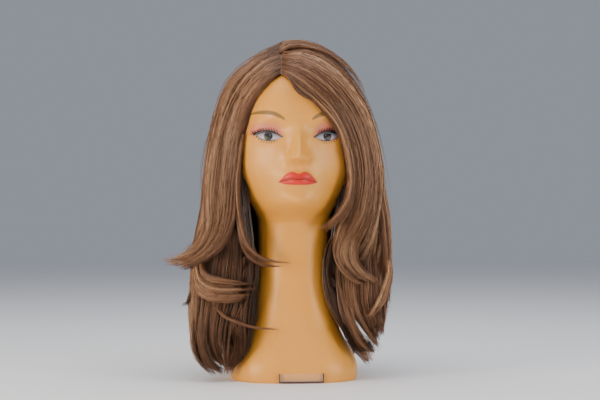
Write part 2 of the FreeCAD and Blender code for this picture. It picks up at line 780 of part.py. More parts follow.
def build_clamp_socket():
    """The flanged tube in the board that drops over the post of a table clamp."""
    body = doc.addObject("PartDesign::Body", "socket_body")
    sketch = new_sketch(body, "socket_profile", "XZ_Plane")
    bore, wall = size("socket_bore") / 2, size("socket_wall")
    flange, lip, depth = size("flange_width") / 2, size("flange_thickness"), size("socket_depth")
    points = [(bore, 0), (flange, 0), (flange, lip), (bore + wall, lip), (bore + wall, depth + wall)]
    points += [(0, depth + wall), (0, depth), (bore, depth)]
    draw_outline(sketch, points)
    turned = body.newObject("PartDesign::Revolution", "socket_turned")
    turned.Profile = sketch
    turned.ReferenceAxis = (sketch, ["V_Axis"])
    turned.Angle = 360
    return keep(body, "clamp_socket")


def build_document():
    """Every sub-part of the head and the wig."""
    screws = base_screws()
    shell = head_shell().fuse(screw_posts()).cut(screws)
    add_shape("head_shell", solids_of(shell))
    build_base_board()
    build_clamp_socket()
    add_shape("base_screws", screws)
    add_shape("ticket_holder", ticket_holder())
    for label, panel in cap_panels().items():
        add_shape(label, panel)
    add_shape("nape_band", nape_band())
    add_shape("adjuster_strap_left", adjuster_strap(1))
    add_shape("adjuster_strap_right", adjuster_strap(-1))
    for label in ("nape_comb", "temple_comb_left", "temple_comb_right"):
        add_shape(label, comb(label))
    for label, hair in {**crown_hair(), **falling_hair()}.items():
        add_shape(label, hair)


def check_and_write():
    """Stop on any failed object or bad shape, then write one file per sub-part."""
    doc.recompute()
    for thing in doc.Objects:
        if "Invalid" in thing.State or "Error" in thing.State:
            raise RuntimeError(f"{thing.Label} did not compute: {thing.State}")
    for node in nodes:
        if node.Shape.isNull() or not node.Shape.isValid():
            raise RuntimeError(f"{node.Label} has a bad shape")
    os.makedirs("parts", exist_ok=True)
    for node in nodes:
        node.Shape.exportStep(f"parts/{node.Label}.step")
        box = node.Shape.BoundBox
        spans = [(box.XMin, box.XMax), (box.YMin, box.YMax), (box.ZMin, box.ZMax)]
        extent = "  ".join(f"{low:7.1f} to {high:7.1f}" for low, high in spans)
        print(f"{node.Label:22} {len(node.Shape.Solids)} solid  {extent}")


build_document()
check_and_write()
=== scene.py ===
"""The looks of a mannequin training head with a side-parted wig. Metres, +Z up, the face looks along -Y."""
import math

import bmesh
import bpy
import numpy as np
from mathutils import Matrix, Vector
from mathutils.bvhtree import BVHTree


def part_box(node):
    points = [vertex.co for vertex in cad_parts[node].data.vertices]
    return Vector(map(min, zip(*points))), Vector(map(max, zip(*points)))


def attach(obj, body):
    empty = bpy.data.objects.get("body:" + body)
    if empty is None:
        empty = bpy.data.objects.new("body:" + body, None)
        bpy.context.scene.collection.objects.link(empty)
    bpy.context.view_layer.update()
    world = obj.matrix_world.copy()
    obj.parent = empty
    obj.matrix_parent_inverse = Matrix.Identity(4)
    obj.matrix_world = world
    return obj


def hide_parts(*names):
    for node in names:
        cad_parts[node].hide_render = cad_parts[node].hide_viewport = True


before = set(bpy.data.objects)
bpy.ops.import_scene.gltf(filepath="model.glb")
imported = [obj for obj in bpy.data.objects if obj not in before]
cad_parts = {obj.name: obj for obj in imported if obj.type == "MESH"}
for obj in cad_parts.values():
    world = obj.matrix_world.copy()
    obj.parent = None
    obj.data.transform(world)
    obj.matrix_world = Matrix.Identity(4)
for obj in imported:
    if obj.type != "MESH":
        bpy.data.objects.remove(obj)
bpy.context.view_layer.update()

MM = 0.001
RNG = np.random.default_rng(7)

# ---- Helpers ----


def linear(code):
    """An sRGB hex colour as linear values."""
    parts = [int(code[i : i + 2], 16) / 255 for i in (1, 3, 5)]
    return tuple(p / 12.92 if p <= 0.04045 else ((p + 0.055) / 1.055) ** 2.4 for p in parts) + (1.0,)


def fill(tree, node, links):
    """Fill a node's sockets with values, or with the outputs that feed them."""
    for socket, value in links.items():
        if isinstance(value, bpy.types.NodeSocket):
            tree.links.new(value, node.inputs[socket])
        else:
            node.inputs[socket].default_value = value


def add(tree, kind, links=None, output=0, **settings):
    """Add a shader node and give one of its outputs: settings are its properties, links as for fill."""
    node = tree.nodes.new("ShaderNode" + kind)
    for name, value in settings.items():
        setattr(node, name, value)
    fill(tree, node, links or {})
    return node.outputs[output]


def new_material(name):
    """An empty material: its node tree, its shader, and the places on the object to paint by."""
    material = bpy.data.materials.new(name)
    material.use_nodes = True
    tree = material.node_tree
    tree.nodes.clear()
    surface = add(tree, "BsdfPrincipled")
    fill(tree, tree.nodes.new("ShaderNodeOutputMaterial"), {"Surface": surface})
    return material, tree, surface.node, add(tree, "TexCoord", output="Object")


def link_mesh(name, mesh):
    """An object for a mesh, placed in the scene."""
    obj = bpy.data.objects.new(name, mesh)
    bpy.context.scene.collection.objects.link(obj)
    return obj


def mesh_object(name, points, faces):
    """A smooth mesh object from points and faces, in metres."""
    mesh = bpy.data.meshes.new(name)
    mesh.from_pydata([tuple(p) for p in points], [], faces)
    mesh.update()
    mesh.polygons.foreach_set("use_smooth", [True] * len(mesh.polygons))
    return link_mesh(name, mesh)


def spline(stations):
    """A smooth function through (place, value) pairs, level outside them."""
    places = np.array([s[0] for s in stations], float)
    values = np.array([s[1] for s in stations], float)
    slopes = np.gradient(values, places)

    def at(place):
        place = np.clip(place, places[0], places[-1])
        i = np.clip(np.searchsorted(places, place) - 1, 0, len(places) - 2)
        span = places[i + 1] - places[i]
        u = (place - places[i]) / span
        a, b = slopes[i] * span, slopes[i + 1] * span
        rise = values[i + 1] - values[i]
        return values[i] + u * a + u * u * (3 * rise - 2 * a - b) + u**3 * (a + b - 2 * rise)

    return at


def hump(distance, reach):
    """A soft hump, 1 at its middle."""
    return np.exp(-((distance / reach) ** 2))


def ramp(value, low, high):
    """A smooth step from 0 at low to 1 at high."""
    u = np.clip((value - low) / (high - low), 0, 1)
    return u * u * (3 - 2 * u)


# ---- Places on the face, in millimetres: X is the distance from the middle line, Z the height ----

UPPER_LID = [(19.6, 295.2), (24, 298), (30, 300.4), (36, 301.3), (43, 300.9), (47, 299.8), (50, 298.3)]
LOWER_LID = [(19.6, 295.2), (24, 292.8), (30, 291.4), (36, 291.2), (43, 292.8), (47, 295.2), (50, 298.3)]
BROW = [(15.5, 315.5), (19, 318), (24, 320.8), (30, 323), (37, 324.5), (44, 325), (52, 324.3), (60, 322.4)]
LIP_TOP = [(0, 251.2), (2.5, 252.0), (6, 253.6), (9, 253.6), (13, 251.6), (18, 247.2), (23.4, 241.2)]
LIP_LINE = [(0, 244.2), (4, 245), (8, 244.9), (14, 243.2), (23.4, 241.2)]
LIP_BOTTOM = [(0, 238), (8, 238.2), (14, 238.8), (19.5, 240), (23.4, 241.2)]
IRIS_PLACE = (35.4, 296.4)
IRIS_RADIUS = 4.9
GLINT_PLACE = (33.4, 297.8)
# half the height of the brow along it
BROW_HALF = [(15.5, 0.5), (19, 1.7), (26, 2.5), (37, 2.3), (48, 1.7), (56, 1.0), (60, 0.4)]
SKIN, SKIN_DEEP = "#E09E42", "#D79438"

# ---- The moulded head ----

CROWN_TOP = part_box("head_shell")[1][2]
# the height, in metres, where the rows start to tilt up over the crown
DOME_START = 0.325
DOME_MIDDLE = Vector((0, 0.010, DOME_START))
# millimetres that the cheeks stand out beyond the CAD form
CHEEK_FULLNESS = 7
SMOOTHINGS, NOSE_HOLD = 9, 0.82
# the turned-in foot of the moulding: insets and heights in metres
FOOT_STEPS = ((0.0006, 0.0), (0.0030, 0.0), (0.0030, 0.0085))


def node_tree_of(name):
    """A search tree over a CAD node's surface, in the row frame."""
    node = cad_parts[name]
    mesh = node.data
    points = [node.matrix_world @ v.co for v in mesh.vertices]
    return BVHTree.FromPolygons(points, [tuple(p.vertices) for p in mesh.polygons])


def reach_of(search, middle, way):
    """How far the outermost surface lies from a middle point, along a unit direction."""
    far = 0.3
    hit = search.ray_cast(middle + way * far, -way, far)
    return far - hit[3] if hit[0] is not None else 0.0


def head_angles():
    """Angles about the upright axis, dense over the face and the ears."""
    spans = [(-64, 64, 150), (64, 128, 44), (128, 232, 26), (232, 296, 44)]
    return np.radians(np.concatenate([np.linspace(low, high, count + 1)[:-1] for low, high, count in spans]))


def head_rows():
    """Each row as a middle point and its tilt above level, from the foot to the crown."""
    levels = list(np.linspace(0.0005, 0.060, 24)) + list(np.linspace(0.064, 0.192, 24))
    levels += list(np.linspace(0.1935, DOME_START, 108))
    rows = [(Vector((0, float(middle_line(level)), level)), 0.0) for level in levels]
    rows += [(DOME_MIDDLE, math.radians(tilt)) for tilt in np.linspace(1.6, 89.2, 50)]
    return rows


middle_line = spline([(0, 0), (0.06, 0.002), (0.125, 0.006), (0.2, 0.008), (0.325, 0.010)])


def ear_detail(y, z):
    """Relief of the moulded ear in millimetres: a rolled rim, a bowl and a plain lobe."""
    lean = math.radians(-12)
    across, up = y - 12, z - 285
    u = (across * math.cos(lean) - up * math.sin(lean)) / 15.7
    v = (across * math.sin(lean) + up * math.cos(lean)) / 29
    edge = np.hypot(u, v)
    rim = 2.4 * hump(edge - 0.84, 0.13) * ramp(v + 0.6 * u, -0.7, -0.1)
    bowl = -4.6 * hump(np.hypot((u + 0.12) / 0.42, (v + 0.12) / 0.40), 1.0)
    dip = -2.2 * hump(edge - 0.60, 0.10) * ramp(v, 0.0, 0.4)
    flap = 2.0 * hump(np.hypot((u + 0.72) / 0.20, (v + 0.10) / 0.22), 1.0)
    return (rim + bowl + dip + flap) * (edge < 1.25)


def face_detail(x, z):
    """Fine relief of the face in millimetres, over what the moulding already has."""
    side = np.abs(x)
    upper, lower = spline(UPPER_LID)(side), spline(LOWER_LID)(side)
    across = ramp(side, 17, 22) * (1 - ramp(side, 50, 55))
    relief = 0.9 * hump(z - upper - 1.3, 1.5) * across
    relief += 0.5 * hump(z - lower + 1.2, 1.4) * across
    relief -= 0.8 * ramp(upper - z, -0.4, 0.8) * ramp(z - lower, -0.4, 0.8) * across
    relief -= 0.7 * hump(z - upper - 6.5, 1.8) * across
    top, line, bottom = spline(LIP_TOP)(side), spline(LIP_LINE)(side), spline(LIP_BOTTOM)(side)
    mouth = 1 - ramp(side, 18, 24)
    relief += 1.1 * ramp(top - z, -0.5, 1.6) * ramp(z - line, -0.3, 1.5) * mouth
    relief += 1.3 * ramp(line - z, -0.3, 1.5) * ramp(z - bottom, -0.5, 1.8) * mouth
    relief -= 1.0 * hump(z - line, 0.8) * (1 - ramp(side, 21, 25))
    relief -= 0.9 * hump(side, 2.6) * ramp(z, 253, 256) * (1 - ramp(z, 260, 264))
    relief += 0.4 * hump(side - 5, 2) * ramp(z, 253, 256) * (1 - ramp(z, 260, 264))
    wing = np.hypot((side - 10.2) / 1.0, (z - 269.5) / 1.2)
    relief += 1.3 * hump(wing, 2.8)
    flank = 15.5 - 0.32 * np.clip(z - 268, 0, 30)
    relief -= 2.2 * hump(side - flank, 3.4) * ramp(z, 260, 267) * (1 - ramp(z, 280, 298))
    relief += 1.2 * hump(side, 3.2) * ramp(z, 272, 278) * (1 - ramp(z, 296, 306))
    return relief


def make_head():
    """The outer skin of the moulding, wrapped on the CAD form, with fine relief in the face."""
    search = node_tree_of("head_shell")
    angles, rows = head_angles(), head_rows()
    sine, cosine = np.sin(angles), np.cos(angles)
    grid = np.zeros((len(rows), len(angles)))
    for r, (middle, tilt) in enumerate(rows):
        for c, angle in enumerate(angles):
            flat = math.cos(tilt)
            way = Vector((flat * math.sin(angle), -flat * math.cos(angle), math.sin(tilt)))
            grid[r, c] = reach_of(search, middle, way)
    count = len(angles)
    level = np.array([middle.z for middle, tilt in rows])[:, None] / MM
    across = grid * sine[None] / MM
    nose = hump(across, 15) * ramp(level, 258, 264) * (1 - ramp(level, 300, 318)) * (cosine > 0)
    share = 1 - NOSE_HOLD * nose
    for _ in range(SMOOTHINGS):
        soft = 0.5 * grid + 0.25 * (np.roll(grid, 1, 1) + np.roll(grid, -1, 1))
        soft[1:-1] = 0.5 * soft[1:-1] + 0.25 * (soft[:-2] + soft[2:])
        grid = grid + (soft - grid) * share
    points = []
    for r, (middle, tilt) in enumerate(rows):
        flat, rise = math.cos(tilt), math.sin(tilt)
        x = grid[r] * flat * sine
        y = middle.y - grid[r] * flat * cosine
        z = np.full(count, middle.z) + grid[r] * rise
        cheek = CHEEK_FULLNESS * ramp(middle.z / MM, 198, 226) * (1 - ramp(middle.z / MM, 285, 318))
        fuller = np.sign(x) * cheek * ramp(np.abs(x) / MM, 34, 60) * ramp(-y / MM, -25, 20) * MM
        x = x + fuller
        facing = ramp(cosine, 0.2, 0.5)
        beside = ramp(np.abs(sine), 0.75, 0.85)
        relief = face_detail(x / MM, z / MM) * facing + ear_detail(y / MM, z / MM) * beside
        reach = grid[r] + relief * MM
        xs = middle.x + reach * flat * sine + fuller
        ys = middle.y - reach * flat * cosine
        points += list(zip(xs, ys, z))
    faces = []
    for r in range(len(rows) - 1):
        for c in range(count):
            a, b = r * count + c, r * count + (c + 1) % count
            faces.append((a, b, b + count, a + count))
    crown = len(points)
    points.append((DOME_MIDDLE.x, DOME_MIDDLE.y, CROWN_TOP))
    last = (len(rows) - 1) * count
    faces += [(last + c, last + (c + 1) % count, crown) for c in range(count)]
    # the moulded edge turns under and up the inside of the mouth, where the board sits
    below = 0
    for inset, level in FOOT_STEPS:
        start = len(points)
        reach = grid[0] - inset
        points += list(zip(reach * sine, rows[0][0].y - reach * cosine, [level] * count))
        for c in range(count):
            d = (c + 1) % count
            faces.append((below + d, below + c, start + c, start + d))
        below = start
    return mesh_object("moulded_head", points, faces)


# ---- Hair: each sheet is a row of guide locks, in millimetres, from root to tip ----


def mirrored(guides):
    """The same guides on the other side."""
    return [[(-x, y, z) for x, y, z in guide] for guide in guides[::-1]]


# the front right side, falling from the parting past the cheek and flipping outwards
FRONT_RIGHT = [
    [(-21, -70, 372), (-43, -76, 358), (-62, -70, 335), (-71, -60, 303), (-73, -56, 265), (-75, -57, 228),
     (-77, -61, 195), (-92, -63, 163), (-116, -58, 146), (-148, -52, 141)],
    [(-19, -56, 385), (-42, -65, 372), (-65, -61, 345), (-79, -51, 305), (-85, -48, 262), (-89, -50, 225),
     (-93, -54, 192), (-107, -55, 166), (-130, -52, 148), (-160, -47, 146)],
    [(-20, -38, 397), (-44, -46, 386), (-72, -44, 358), (-92, -36, 315), (-101, -34, 268), (-105, -36, 228),
     (-106, -40, 196), (-113, -45, 171), (-134, -46, 153), (-167, -44, 150)],
    [(-20, -18, 405), (-46, -24, 395), (-77, -24, 366), (-98, -18, 322), (-109, -16, 275), (-113, -18, 230),
     (-114, -24, 200), (-119, -32, 177), (-136, -38, 158), (-166, -40, 153)],
]
# the long right side, behind it
LONG_RIGHT = [
    [(-20, -36, 398), (-48, -42, 388), (-76, -44, 362), (-92, -40, 325), (-99, -38, 275), (-103, -37, 230),
     (-107, -37, 195), (-112, -40, 160), (-116, -42, 125), (-120, -43, 82), (-121, -44, 54),
     (-115, -46, 31), (-104, -48, 14), (-88, -49, 5)],
    [(-20, -22, 404), (-48, -26, 394), (-80, -24, 368), (-97, -20, 325), (-106, -18, 275), (-110, -18, 230),
     (-114, -19, 195), (-119, -24, 160), (-122, -29, 125), (-126, -33, 82), (-128, -36, 54),
     (-122, -39, 31), (-108, -43, 14), (-88, -46, 5)],
    [(-16, 8, 413), (-46, 12, 402), (-80, 18, 373), (-99, 25, 325), (-108, 27, 275), (-111, 27, 230),
     (-114, 24, 195), (-120, 18, 160), (-122, 8, 125), (-124, -2, 88), (-124, -10, 60), (-117, -18, 38),
     (-105, -24, 22), (-92, -28, 14)],
    [(-12, 22, 416), (-40, 40, 403), (-72, 58, 373), (-92, 74, 325), (-100, 78, 275), (-103, 78, 230),
     (-104, 75, 195), (-106, 71, 160), (-107, 66, 125), (-107, 59, 96), (-104, 53, 74), (-98, 48, 58),
     (-90, 44, 48), (-82, 41, 43)],
]
# the lock that curls forwards and across below the flip
BAND_RIGHT = [
    [(-104, -22, 216), (-112, -38, 182), (-116, -50, 152), (-113, -59, 137), (-103, -64, 130),
     (-88, -67, 127), (-69, -61, 123), (-51, -44, 121)],
    [(-108, -18, 212), (-118, -34, 172), (-122, -48, 142), (-117, -60, 122), (-103, -67, 113),
     (-84, -69, 111), (-67, -62, 111), (-50, -46, 111)],
    [(-112, -14, 206), (-123, -30, 162), (-126, -46, 130), (-120, -60, 109), (-104, -68, 99),
     (-84, -70, 97), (-67, -62, 98), (-50, -46, 100)],
]
# the lower right lock that closes to a point by the base
LOW_RIGHT = [
    [(-108, -20, 190), (-119, -30, 140), (-127, -38, 92), (-129, -42, 58), (-124, -44, 34), (-106, -46, 15),
     (-86, -47, 3)],
    [(-96, -28, 190), (-103, -40, 145), (-110, -46, 104), (-113, -49, 68), (-109, -50, 38), (-97, -50, 17),
     (-85, -49, 4)],
    [(-80, -32, 188), (-84, -43, 144), (-90, -49, 106), (-95, -51, 72), (-96, -52, 42), (-91, -52, 20),
     (-85, -51, 5)],
    [(-66, -30, 186), (-64, -40, 142), (-68, -47, 106), (-74, -51, 74), (-79, -53, 46), (-83, -53, 24),
     (-84, -52, 8)],
    [(-60, -14, 186), (-58, -20, 142), (-60, -24, 106), (-66, -30, 74), (-75, -37, 46), (-84, -43, 24),
     (-87, -47, 6)],
]
# hair inside the right side, behind the neck's edge, painted dark as painted shade
INNER_RIGHT = [
    [(-70, -34, 310), (-72, -38, 262), (-69, -42, 215), (-64, -40, 172), (-62, -38, 135), (-66, -38, 98),
     (-76, -42, 62), (-88, -46, 24)],
    [(-74, 14, 310), (-74, 12, 262), (-70, 8, 215), (-66, 6, 172), (-64, 4, 135), (-68, 0, 98),
     (-78, -8, 62), (-92, -16, 26)],
    [(-68, 60, 310), (-66, 62, 262), (-64, 60, 215), (-62, 56, 172), (-62, 52, 135), (-66, 46, 98),
     (-74, 36, 66), (-86, 28, 38)],
]
# the fringe, swept from the parting across to the left and down past the cheek
FRINGE = [
    [(-19, -71, 372), (-4, -86, 360), (18, -94, 341), (40, -91, 318), (55, -80, 292), (62, -71, 258),
     (61, -67, 232), (54, -65, 212), (43, -63, 197), (31, -60, 188), (18, -57, 187)],
    [(-18, -56, 386), (6, -75, 378), (36, -84, 356), (61, -79, 326), (76, -69, 290), (83, -62, 250),
     (83, -59, 222), (78, -60, 197), (66, -60, 177), (52, -59, 164), (37, -56, 160)],
    [(-17, -38, 397), (12, -56, 393), (48, -65, 370), (79, -61, 332), (94, -53, 290), (100, -49, 250),
     (100, -47, 215), (94, -50, 186), (82, -53, 164), (66, -55, 151), (50, -55, 150)],
    [(-16, -18, 406), (16, -31, 404), (56, -41, 380), (87, -41, 338), (102, -37, 290), (109, -33, 250),
     (111, -33, 215), (109, -36, 182), (104, -42, 154), (99, -47, 130), (93, -50, 114)],
]
# the long left side, behind the fringe
LONG_LEFT = [
    [(-15, -38, 400), (20, -44, 399), (56, -50, 373), (80, -50, 334), (93, -46, 290), (100, -43, 250),
     (105, -42, 215), (108, -42, 180), (109, -43, 150), (110, -44, 120), (111, -45, 98), (108, -46, 78),
     (100, -48, 60), (88, -49, 46)],
    [(-15, -20, 405), (20, -28, 405), (60, -34, 380), (86, -34, 338), (99, -30, 290), (106, -27, 250),
     (111, -27, 215), (114, -28, 180), (114, -30, 150), (116, -32, 120), (117, -34, 98), (114, -37, 78),
     (108, -41, 60), (94, -44, 46)],
    [(-14, 10, 415), (20, 14, 417), (60, 18, 391), (88, 24, 340), (101, 26, 290), (108, 28, 250),
     (112, 28, 215), (114, 25, 180), (113, 19, 150), (113, 11, 120), (114, 3, 96), (111, -5, 76),
     (107, -13, 59), (96, -19, 48)],
    [(-8, 22, 417), (20, 42, 415), (54, 60, 388), (78, 74, 340), (90, 79, 290), (97, 80, 250),
     (100, 78, 215), (101, 76, 180), (101, 71, 150), (102, 65, 120), (101, 58, 96), (97, 52, 78),
     (90, 47, 65), (82, 43, 58)],
]
# the layer under the fringe whose ends kick out again
KICK_LEFT = [
    [(68, -42, 255), (60, -46, 215), (50, -52, 182), (44, -54, 160), (47, -56, 144), (56, -58, 130),
     (70, -60, 120), (88, -60, 116)],
    [(80, -40, 255), (75, -43, 215), (64, -50, 184), (55, -55, 162), (56, -58, 148), (64, -60, 136),
     (78, -62, 126), (95, -60, 117)],
    [(96, -36, 255), (92, -40, 215), (84, -48, 186), (76, -54, 165), (74, -57, 152), (80, -60, 140),
     (92, -61, 130), (104, -57, 121)],
]
# the lower left lock, curling out over the base
LOW_LEFT = [
    [(55, -12, 190), (52, -20, 150), (54, -26, 116), (60, -31, 88), (71, -38, 62), (86, -46, 42),
     (99, -49, 30)],
    [(54, -26, 190), (48, -38, 150), (48, -44, 116), (54, -48, 88), (66, -51, 62), (82, -52, 42),
     (100, -51, 30)],
    [(68, -28, 190), (62, -40, 150), (62, -47, 118), (68, -51, 88), (78, -53, 64), (90, -53, 45),
     (103, -50, 36)],
    [(88, -26, 190), (84, -40, 150), (84, -48, 120), (88, -52, 92), (94, -53, 70), (99, -52, 54),
     (103, -49, 44)],
    [(108, -22, 190), (108, -34, 150), (110, -42, 122), (113, -46, 98), (112, -47, 78), (106, -46, 60),
     (96, -44, 46)],
]
# one light lock that crosses the lower left side
CROSS_LEFT = [
    [(112, -40, 150), (113, -48, 130), (107, -54, 112), (98, -57, 96), (89, -58, 82), (82, -57, 74)],
    [(118, -36, 150), (119, -45, 128), (113, -52, 108), (103, -56, 92), (93, -58, 80), (84, -57, 71)],
]
# hair inside the left side, behind the neck's edge, painted dark as painted shade
INNER_LEFT = [
    [(68, -34, 310), (66, -38, 262), (62, -42, 215), (56, -42, 172), (54, -40, 135), (58, -42, 98),
     (68, -46, 62), (84, -50, 26)],
    [(74, 14, 310), (74, 12, 262), (70, 8, 215), (62, 6, 172), (60, 2, 135), (64, -4, 98), (74, -14, 66),
     (88, -28, 36)],
    [(68, 60, 310), (66, 62, 262), (62, 60, 215), (58, 56, 172), (58, 52, 135), (62, 46, 98), (72, 36, 70),
     (86, 26, 50)],
]
# the back, fanning from the crown
BACK_RIGHT = [
    [(-14, 12, 415), (-42, 34, 403), (-72, 50, 372), (-93, 64, 322), (-101, 70, 270), (-103, 72, 220),
     (-103, 70, 180), (-104, 64, 140), (-105, 56, 105), (-101, 46, 78), (-94, 38, 60)],
    [(-12, 18, 416), (-34, 56, 404), (-58, 81, 370), (-74, 98, 320), (-80, 105, 270), (-81, 107, 220),
     (-82, 105, 180), (-84, 100, 140), (-86, 92, 105), (-83, 82, 80), (-76, 73, 64)],
    [(-7, 20, 417), (-18, 68, 405), (-31, 98, 370), (-38, 116, 320), (-41, 123, 270), (-41, 125, 220),
     (-41, 124, 180), (-42, 120, 140), (-43, 113, 105), (-41, 105, 78), (-36, 97, 60)],
    [(0, 20, 417), (0, 70, 406), (0, 103, 371), (0, 122, 320), (0, 129, 270), (0, 131, 220), (0, 130, 180),
     (0, 126, 140), (0, 119, 105), (0, 111, 78), (0, 104, 58)],
]
# a shorter layer over the back whose ends turn out
BACK_LAYER = [
    [(-14, 8, 415), (-42, 32, 404), (-73, 50, 373), (-94, 64, 322), (-102, 70, 270), (-105, 73, 225),
     (-106, 74, 190), (-111, 78, 166), (-120, 83, 155)],
    [(-12, 14, 417), (-34, 57, 405), (-59, 82, 371), (-75, 99, 320), (-81, 107, 270), (-83, 110, 225),
     (-84, 112, 188), (-89, 118, 164), (-95, 123, 154)],
    [(-7, 16, 418), (-18, 69, 406), (-32, 99, 371), (-39, 117, 320), (-42, 125, 270), (-43, 128, 225),
     (-43, 129, 192), (-45, 133, 172), (-48, 137, 162)],
    [(0, 16, 418), (0, 71, 407), (0, 104, 372), (0, 123, 320), (0, 130, 270), (0, 132, 225), (0, 132, 186),
     (0, 134, 164), (0, 137, 152)],
]
# the hair below them, next to the neck, painted darker as painted shade
UNDER_RIGHT = [
    [(-62, 70, 300), (-64, 78, 240), (-62, 80, 180), (-62, 78, 130), (-66, 72, 90), (-66, 64, 58)],
    [(-34, 92, 300), (-36, 100, 240), (-34, 101, 180), (-34, 98, 130), (-36, 92, 90), (-34, 86, 52)],
]
UNDER_MIDDLE = [(0, 99, 300), (0, 107, 240), (0, 108, 180), (0, 105, 130), (0, 99, 90), (0, 92, 48)]
BACK_UNDER = UNDER_RIGHT + [UNDER_MIDDLE] + mirrored(UNDER_RIGHT)
# loose wisps that cross the neck and the forehead
CHEEK_WISP = [
    [(-64, -60, 300), (-71, -58, 262), (-73, -57, 228), (-70, -58, 196), (-64, -61, 174), (-52, -63, 158),
     (-34, -63, 149), (-12, -60, 145), (10, -57, 144)],
    [(-68, -56, 300), (-74, -55, 262), (-76, -54, 228), (-74, -55, 194), (-69, -58, 168), (-60, -61, 150),
     (-46, -62, 141), (-28, -60, 138), (-12, -58, 138)],
]
NECK_WISP = [
    [(-104, -46, 106), (-99, -54, 92), (-90, -60, 82), (-76, -63, 75), (-60, -64, 70), (-40, -63, 66),
     (-12, -60, 63)],
    [(-102, -44, 102), (-97, -54, 88), (-87, -60, 78), (-73, -63, 73), (-59, -64, 68), (-42, -63, 65),
     (-18, -60, 62)],
]
# short hair that crosses the back end of the parting and hides it
PARTING_HAIR = [
    [(-22, -32, 396), (-16, -36, 403), (-6, -38, 409), (10, -38, 409), (32, -38, 404), (56, -38, 391),
     (78, -34, 368), (92, -28, 340)],
    [(-24, -12, 399), (-17, -12, 409), (-8, -12, 415), (10, -12, 416), (34, -12, 411), (60, -12, 396),
     (82, -10, 370), (96, -6, 340)],
    [(-24, 14, 400), (-17, 14, 410), (-7, 14, 417), (12, 18, 418), (34, 24, 413), (58, 30, 397),
     (78, 36, 370), (91, 42, 340)],
    [(-22, 34, 398), (-15, 36, 407), (-4, 40, 413), (12, 46, 414), (32, 54, 406), (52, 62, 388),
     (68, 70, 360), (78, 78, 332)],
]
FRINGE_WISP = [
    [(-13, -79, 369), (-9, -90, 359), (-4, -96, 350), (6, -100, 341), (18, -101, 334), (32, -98, 329)],
    [(-12, -79, 370), (-6, -90, 361), (2, -97, 352), (13, -100, 343), (25, -100, 336), (38, -96, 331)],
]
CURL_END_RIGHT = [
    [(-116, -20, 150), (-124, -26, 126), (-129, -30, 106), (-136, -32, 95), (-142, -33, 93)],
    [(-112, -16, 145), (-121, -22, 120), (-127, -27, 101), (-133, -30, 88), (-139, -32, 84)],
]


def curve_through(a, b, c, d, u):
    """A place between b and c on the smooth curve through four places."""
    return 0.5 * (2 * b + (c - a) * u + (2 * a - 5 * b + 4 * c - d) * u**2 + (3 * b - a - 3 * c + d) * u**3)


def even_path(guide, steps):
    """Places along a smooth curve through a guide, evenly spaced along its length."""
    places = np.array(guide, float)
    ends = np.vstack([2 * places[0] - places[1], places, 2 * places[-1] - places[-2]])
    fine = []
    for i in range(1, len(ends) - 2):
        u = np.linspace(0, 1, 16, endpoint=False)[:, None]
        fine.append(curve_through(*ends[i - 1 : i + 3], u))
    fine = np.vstack(fine + [places[-1:]])
    along = np.concatenate([[0], np.cumsum(np.linalg.norm(np.diff(fine, axis=0), axis=1))])
    wanted = np.linspace(0, along[-1], steps)
    return np.stack([np.interp(wanted, along, fine[:, axis]) for axis in range(3)], axis=1)


def between(grid, across, along):
    """Places on a sheet: across runs over its guides, along from root to tip, both smooth."""
    count, steps = grid.shape[0], grid.shape[1]
    column = np.clip(along, 0, 1) * (steps - 1)
    low = np.clip(column.astype(int), 0, steps - 2)
    share = (column - low)[..., None]

    def guide(index):
        index = np.clip(index, 0, count - 1)
        return grid[index, low] * (1 - share) + grid[index, low + 1] * share

    across = np.clip(across, 0, count - 1)
    row = np.clip(across.astype(int), 0, max(count - 2, 0))
    u = (across - row)[..., None]
    return curve_through(guide(row - 1), guide(row), guide(row + 1), guide(row + 2), u)


HEAD_MIDDLE = (0, 8, 240)


def outwards(grid, across, along):
    """Unit direction away from the head at places on a sheet."""
    step = 0.02
    flow = between(grid, across, along + step) - between(grid, across, along - step)
    side = between(grid, across + 5 * step, along) - between(grid, across - 5 * step, along)
    normal = np.cross(flow, side)
    normal /= np.linalg.norm(normal, axis=-1, keepdims=True) + 1e-9
    away = between(grid, across, along) - np.array(HEAD_MIDDLE)
    away[..., 2] *= 0.3
    sign = np.sign(np.sum(normal * away, axis=-1, keepdims=True))
    return normal * np.where(sign == 0, 1, sign)


DARK, MID, LIGHT = "#38241A", "#80583E", "#C8A07C"


def blend_tone(tone):
    """Fibre colour for a tone from 0, dark, through 0.5 to 1, light."""
    dark, mid, light = (np.array(linear(code)[:3]) for code in (DARK, MID, LIGHT))
    tone = np.clip(tone, 0, 1)[..., None]
    return np.where(tone < 0.5, dark + (mid - dark) * tone * 2, mid + (light - mid) * (tone * 2 - 1))


# the hair stands up a little over the crown, whose middle lies behind the axis: all in millimetres
CROWN_LIFT, CROWN_SPREAD, CROWN_BACK = 4.5, 48, 15
# one lock's large bend: its height in millimetres, its sway in guides, and its turn from root to tip
WAVE_HEIGHT, WAVE_SWAY, WAVE_TURN = 2.4, 0.06, 10
LOWEST_TIP = 2.5


